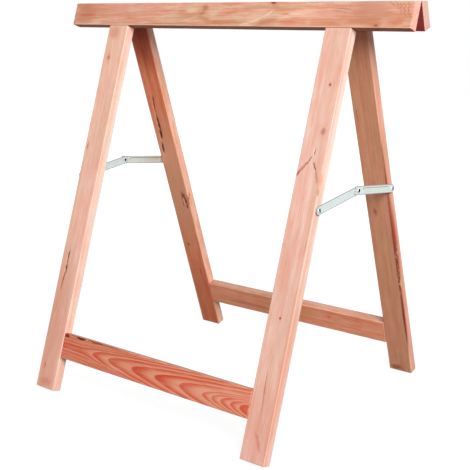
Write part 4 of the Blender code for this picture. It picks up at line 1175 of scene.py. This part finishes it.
def turnedTree(name, profile):               # a copy on each place, facing outwards, turned by its own angle
    tree = bpy.data.node_groups.new(name, "GeometryNodeTree")
    for label, kind in lathe["inputs"].items():
        tree.interface.new_socket(label, in_out="INPUT", socket_type="NodeSocket" + kind)
    tree.interface.new_socket("Geometry", in_out="OUTPUT", socket_type="NodeSocketGeometry")
    net = Net(tree)
    sockets = tree.nodes.new("NodeGroupInput").outputs
    given = {socket.name: Tap(net, socket) for socket in sockets if socket.name}
    top = max(height for radius, height in profile) * mm
    body = crossed(net, given, turnedBody(net, given, name, profile), top)
    way = net.geometry("InputNamedAttribute", {"Name": "facing"}, "Attribute", {"data_type": "FLOAT_VECTOR"})
    spin = net.geometry("InputNamedAttribute", {"Name": "turn"}, "Attribute", {"data_type": "FLOAT"})
    aimed = net.add("FunctionNodeAlignRotationToVector", {"axis": "Z"}, {"Vector": way}, "Rotation")
    spun = net.add("FunctionNodeAxisAngleToRotation", (), {"Axis": (0.0, 0.0, 1.0), "Angle": spin},
                   "Rotation")
    aimed = net.add("FunctionNodeRotateRotation", {"rotation_space": "LOCAL"},
                    {"Rotation": aimed, "Rotate By": spun}, "Rotation")
    scale = net.join(given["Scale"], given["Scale"], given["Scale"])
    copies = net.geometry("InstanceOnPoints", {"Points": given["Places"], "Instance": body,
                                               "Rotation": aimed, "Scale": scale}, "Instances")
    real = net.geometry("RealizeInstances", {"Geometry": copies})
    bright = 1.0 - net.geometry("MaterialSelection", {"Material": given["Grime"]}, "Selection")
    done = net.geometry("SetMaterial", {"Geometry": real, "Selection": bright, "Material": given["Metal"]})
    tree.links.new(done.socket, tree.nodes.new("NodeGroupOutput").inputs[0])
    return tree


trees = {name: turnedTree(name, profile) for name, profile in profiles.items()}


def addTurned(name, kind, places, body, nodes, recess="none"):
    dots = newMesh(name + "_places", [place for place, way, turn in places], [])
    storeVectors(dots, "facing", np.array([way for place, way, turn in places]))
    turns = dots.attributes.new("turn", "FLOAT", "POINT")
    turns.data.foreach_set("value", [turn for place, way, turn in places])
    holder = newObject(name + "_places", dots)
    maker = holder.modifiers.new("turned", "NODES")
    maker.node_group = trees[kind]
    given = [item for item in trees[kind].interface.items_tree if item.in_out == "INPUT"]
    reach, width, depth, share = recesses[recess]
    values = {"Scale": 1.0, "Facets": lathe["facets"], "Recess Reach": reach, "Recess Width": width,
              "Recess Depth": depth, "Cross Share": share, "Metal": screwZinc, "Grime": grimeAndShade}
    for socket in given:
        if socket.name in values:
            maker[socket.identifier] = values[socket.name]
    mesh = bpy.data.meshes.new_from_object(holder.evaluated_get(bpy.context.evaluated_depsgraph_get()))
    bpy.data.objects.remove(holder)
    mesh.name = name
    slots = list(mesh.materials)             # an empty slot comes with the first shape of a tree
    used = [slots[face.material_index] for face in mesh.polygons]
    kept = [material for material in slots if material in used]
    finishMesh(mesh, kept, lathe["sharpAngle"])
    for face, material in zip(mesh.polygons, used):
        face.material_index = kept.index(material)
    piece = newObject(name, mesh)
    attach(piece, body)
    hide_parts(*nodes)


def hingeScrewPlace(node):                   # head up on the leaf's inner face, each turned its own way
    side = front if "_front_" in node else back
    box = toFrame(side, nodePoints(node))
    middle = (box.min(0) + box.max(0)) / 2
    place = toWorld(side, middle[0], middle[1], box[:, 2].min())
    away = Vector(toWorld(side, 0, 0, -1)) - Vector(toWorld(side, 0, 0, 0))
    return place, away.normalized(), 0.5 + 37.0 * middle[0]


screwTurns = {"front": (0.30, 0.22), "back": (0.1, 0.06)}    # how far the left and right crosses are turned
for side, word, ring, part in ((front, "front", "washer", "tail"), (back, "back", "spacer", "head")):
    body = word + "_frame"
    ends = list(zip((-1, 1), ("left", "right"), screwTurns[word]))
    x, y, z = stay["screw"]
    places = [((end * x, side * y, z), (end, 0, 0), turn) for end, name, turn in ends]
    addTurned(word + "_stay_screws", word + "StayScrew", places, body,
              ["%s_stay_%s_screw" % (name, word) for end, name, turn in ends], "stay")
    addTurned("%s_stay_%ss" % (word, ring), word + ring.capitalize(), places, body,
              ["%s_stay_%s_%s" % (name, word, ring) for end, name, turn in ends])
    nodes = ["%s_hinge_%s_screw_%d" % (name, word, n) for end, name, turn in ends for n in (1, 2, 3)]
    addTurned(word + "_hinge_screws", "hingeScrew", [hingeScrewPlace(node) for node in nodes], body, nodes,
              "hinge")
    for end, name, turn in ends:
        middle = armPlace(side, end)(stay["length"], 0.0, 0.0)
        addTurned("%s_rivet_%s" % (name, part), "rivet" + part.capitalize(), [(middle, (end, 0, 0), 0.0)],
                  "%s_%s_arm" % (name, word), ["%s_stay_rivet_%s" % (name, part)])
print("fasteners: screws, washers and rivets turned")

for nodeName, node in frame["nodes"].items():
    if "dowel" in nodeName or "leaf" in nodeName or "pin" in nodeName:
        node.data.materials.clear()
        node.data.materials.append(beechPeg if "dowel" in nodeName else plateZinc)


# Studio

studio = {
    "floorSize": 12.0, "floorDrop": 0.0005,  # the floor lies this much under the feet
    "fill": 0.34,                # light from the room on the object
    "floorBounce": 0.16,         # how much of it the floor sends back up
    "floorPaper": 0.20, "floorGlow": 0.88,     # the floor as the camera sees it
    "near": 0.7, "far": 1.7,     # past this distance the floor is plain white
    "aim": (0, 0, 0.35),         # where the lamps point
    "lamps": {"key": {"place": (2.9, -1.9, 2.4), "size": 2.2, "power": 165},
              "back_fill": {"place": (-2.2, 2.4, 2.2), "size": 2.4, "power": 45}},
}
# The camera stands where the photo was taken from: its place, its turns in radians, then in pixels the
# focal length, the picture's width and the point that it looks straight at, and last the sensor's width
view = {"place": (1.07843, -1.4081, 0.73743), "yaw": 0.67049, "pitch": 0.23937, "roll": -0.00269,
        "focus": 925.04, "picture": 470.0, "middle": (215.0, 235.0), "sensor": 36.0}


def grey(value):
    return (value, value, value, 1)


def seenRays(net):                           # 1 for what the camera sees, also in metal and glass
    rays = net.add("LightPath", (), (), "Is Camera Ray")
    outputs = rays.socket.node.outputs
    for name in ("Is Glossy Ray", "Is Transmission Ray"):
        rays = net.maths("MAXIMUM", rays, Tap(net, outputs[name]))
    return rays


def studioWorld():
    world = bpy.data.worlds.new("studio")
    bpy.context.scene.world = world
    world.use_nodes = True
    world.node_tree.nodes.clear()
    net = Net(world.node_tree)
    strength = studio["fill"] + seenRays(net) * (1.0 - studio["fill"])
    light = net.add("Background", (), {"Color": grey(1), "Strength": strength})
    net.add("OutputWorld", (), {"Surface": light})


def floorFinish():
    material, net = newMaterial("studio_floor")
    distance = net.vectors("LENGTH", net.add("TexCoord", (), (), "Object"), output="Value")
    away = net.step(distance, studio["near"], studio["far"])
    matt = net.add("BsdfDiffuse", (), {"Color": grey(studio["floorPaper"])})
    glow = net.mix(away, grey(studio["floorGlow"]), grey(1))
    glow = net.add("Emission", (), {"Color": glow, "Strength": 1.0})
    bright = net.add("AddShader", (), {0: matt, 1: glow})
    plain = net.add("BsdfDiffuse", (), {"Color": grey(studio["floorBounce"])})
    surface = net.add("MixShader", (), {0: seenRays(net), 1: plain, 2: bright})
    net.add("OutputMaterial", (), {"Surface": surface})
    return material


def addLamp(name, place, size, power):
    lamp = bpy.data.lights.new(name, "AREA")
    lamp.shape, lamp.size, lamp.energy = "DISK", size, power
    holder = newObject(name, lamp)
    holder.location = place
    holder.rotation_euler = (Vector(studio["aim"]) - Vector(place)).to_track_quat("-Z", "Y").to_euler()
    holder.visible_camera = False


studioWorld()
half = studio["floorSize"] / 2
floorMesh = newMesh("floor", [(-half, -half, 0), (half, -half, 0), (half, half, 0), (-half, half, 0)],
                    [(0, 1, 2, 3)])
floorMesh.materials.append(floorFinish())
floor = newObject("floor", floorMesh)
floor.location.z = -studio["floorDrop"]
for name, lamp in studio["lamps"].items():
    addLamp(name, **lamp)

camera = bpy.data.cameras.new("camera")
camera.sensor_width = view["sensor"]
camera.sensor_fit = "HORIZONTAL"
camera.lens = view["focus"] / view["picture"] * view["sensor"]
camera.shift_x = (view["picture"] / 2 - view["middle"][0]) / view["picture"]
camera.shift_y = (view["middle"][1] - view["picture"] / 2) / view["picture"]
eye = newObject("camera", camera)
turned = Matrix.Rotation(view["yaw"], 4, "Z") @ Matrix.Rotation(math.pi / 2 - view["pitch"], 4, "X")
eye.matrix_world = Matrix.Translation(view["place"]) @ turned @ Matrix.Rotation(view["roll"], 4, "Z")
bpy.context.scene.camera = eye
bpy.context.scene.view_settings.view_transform = "Standard"
print("studio: floor, lights and camera")
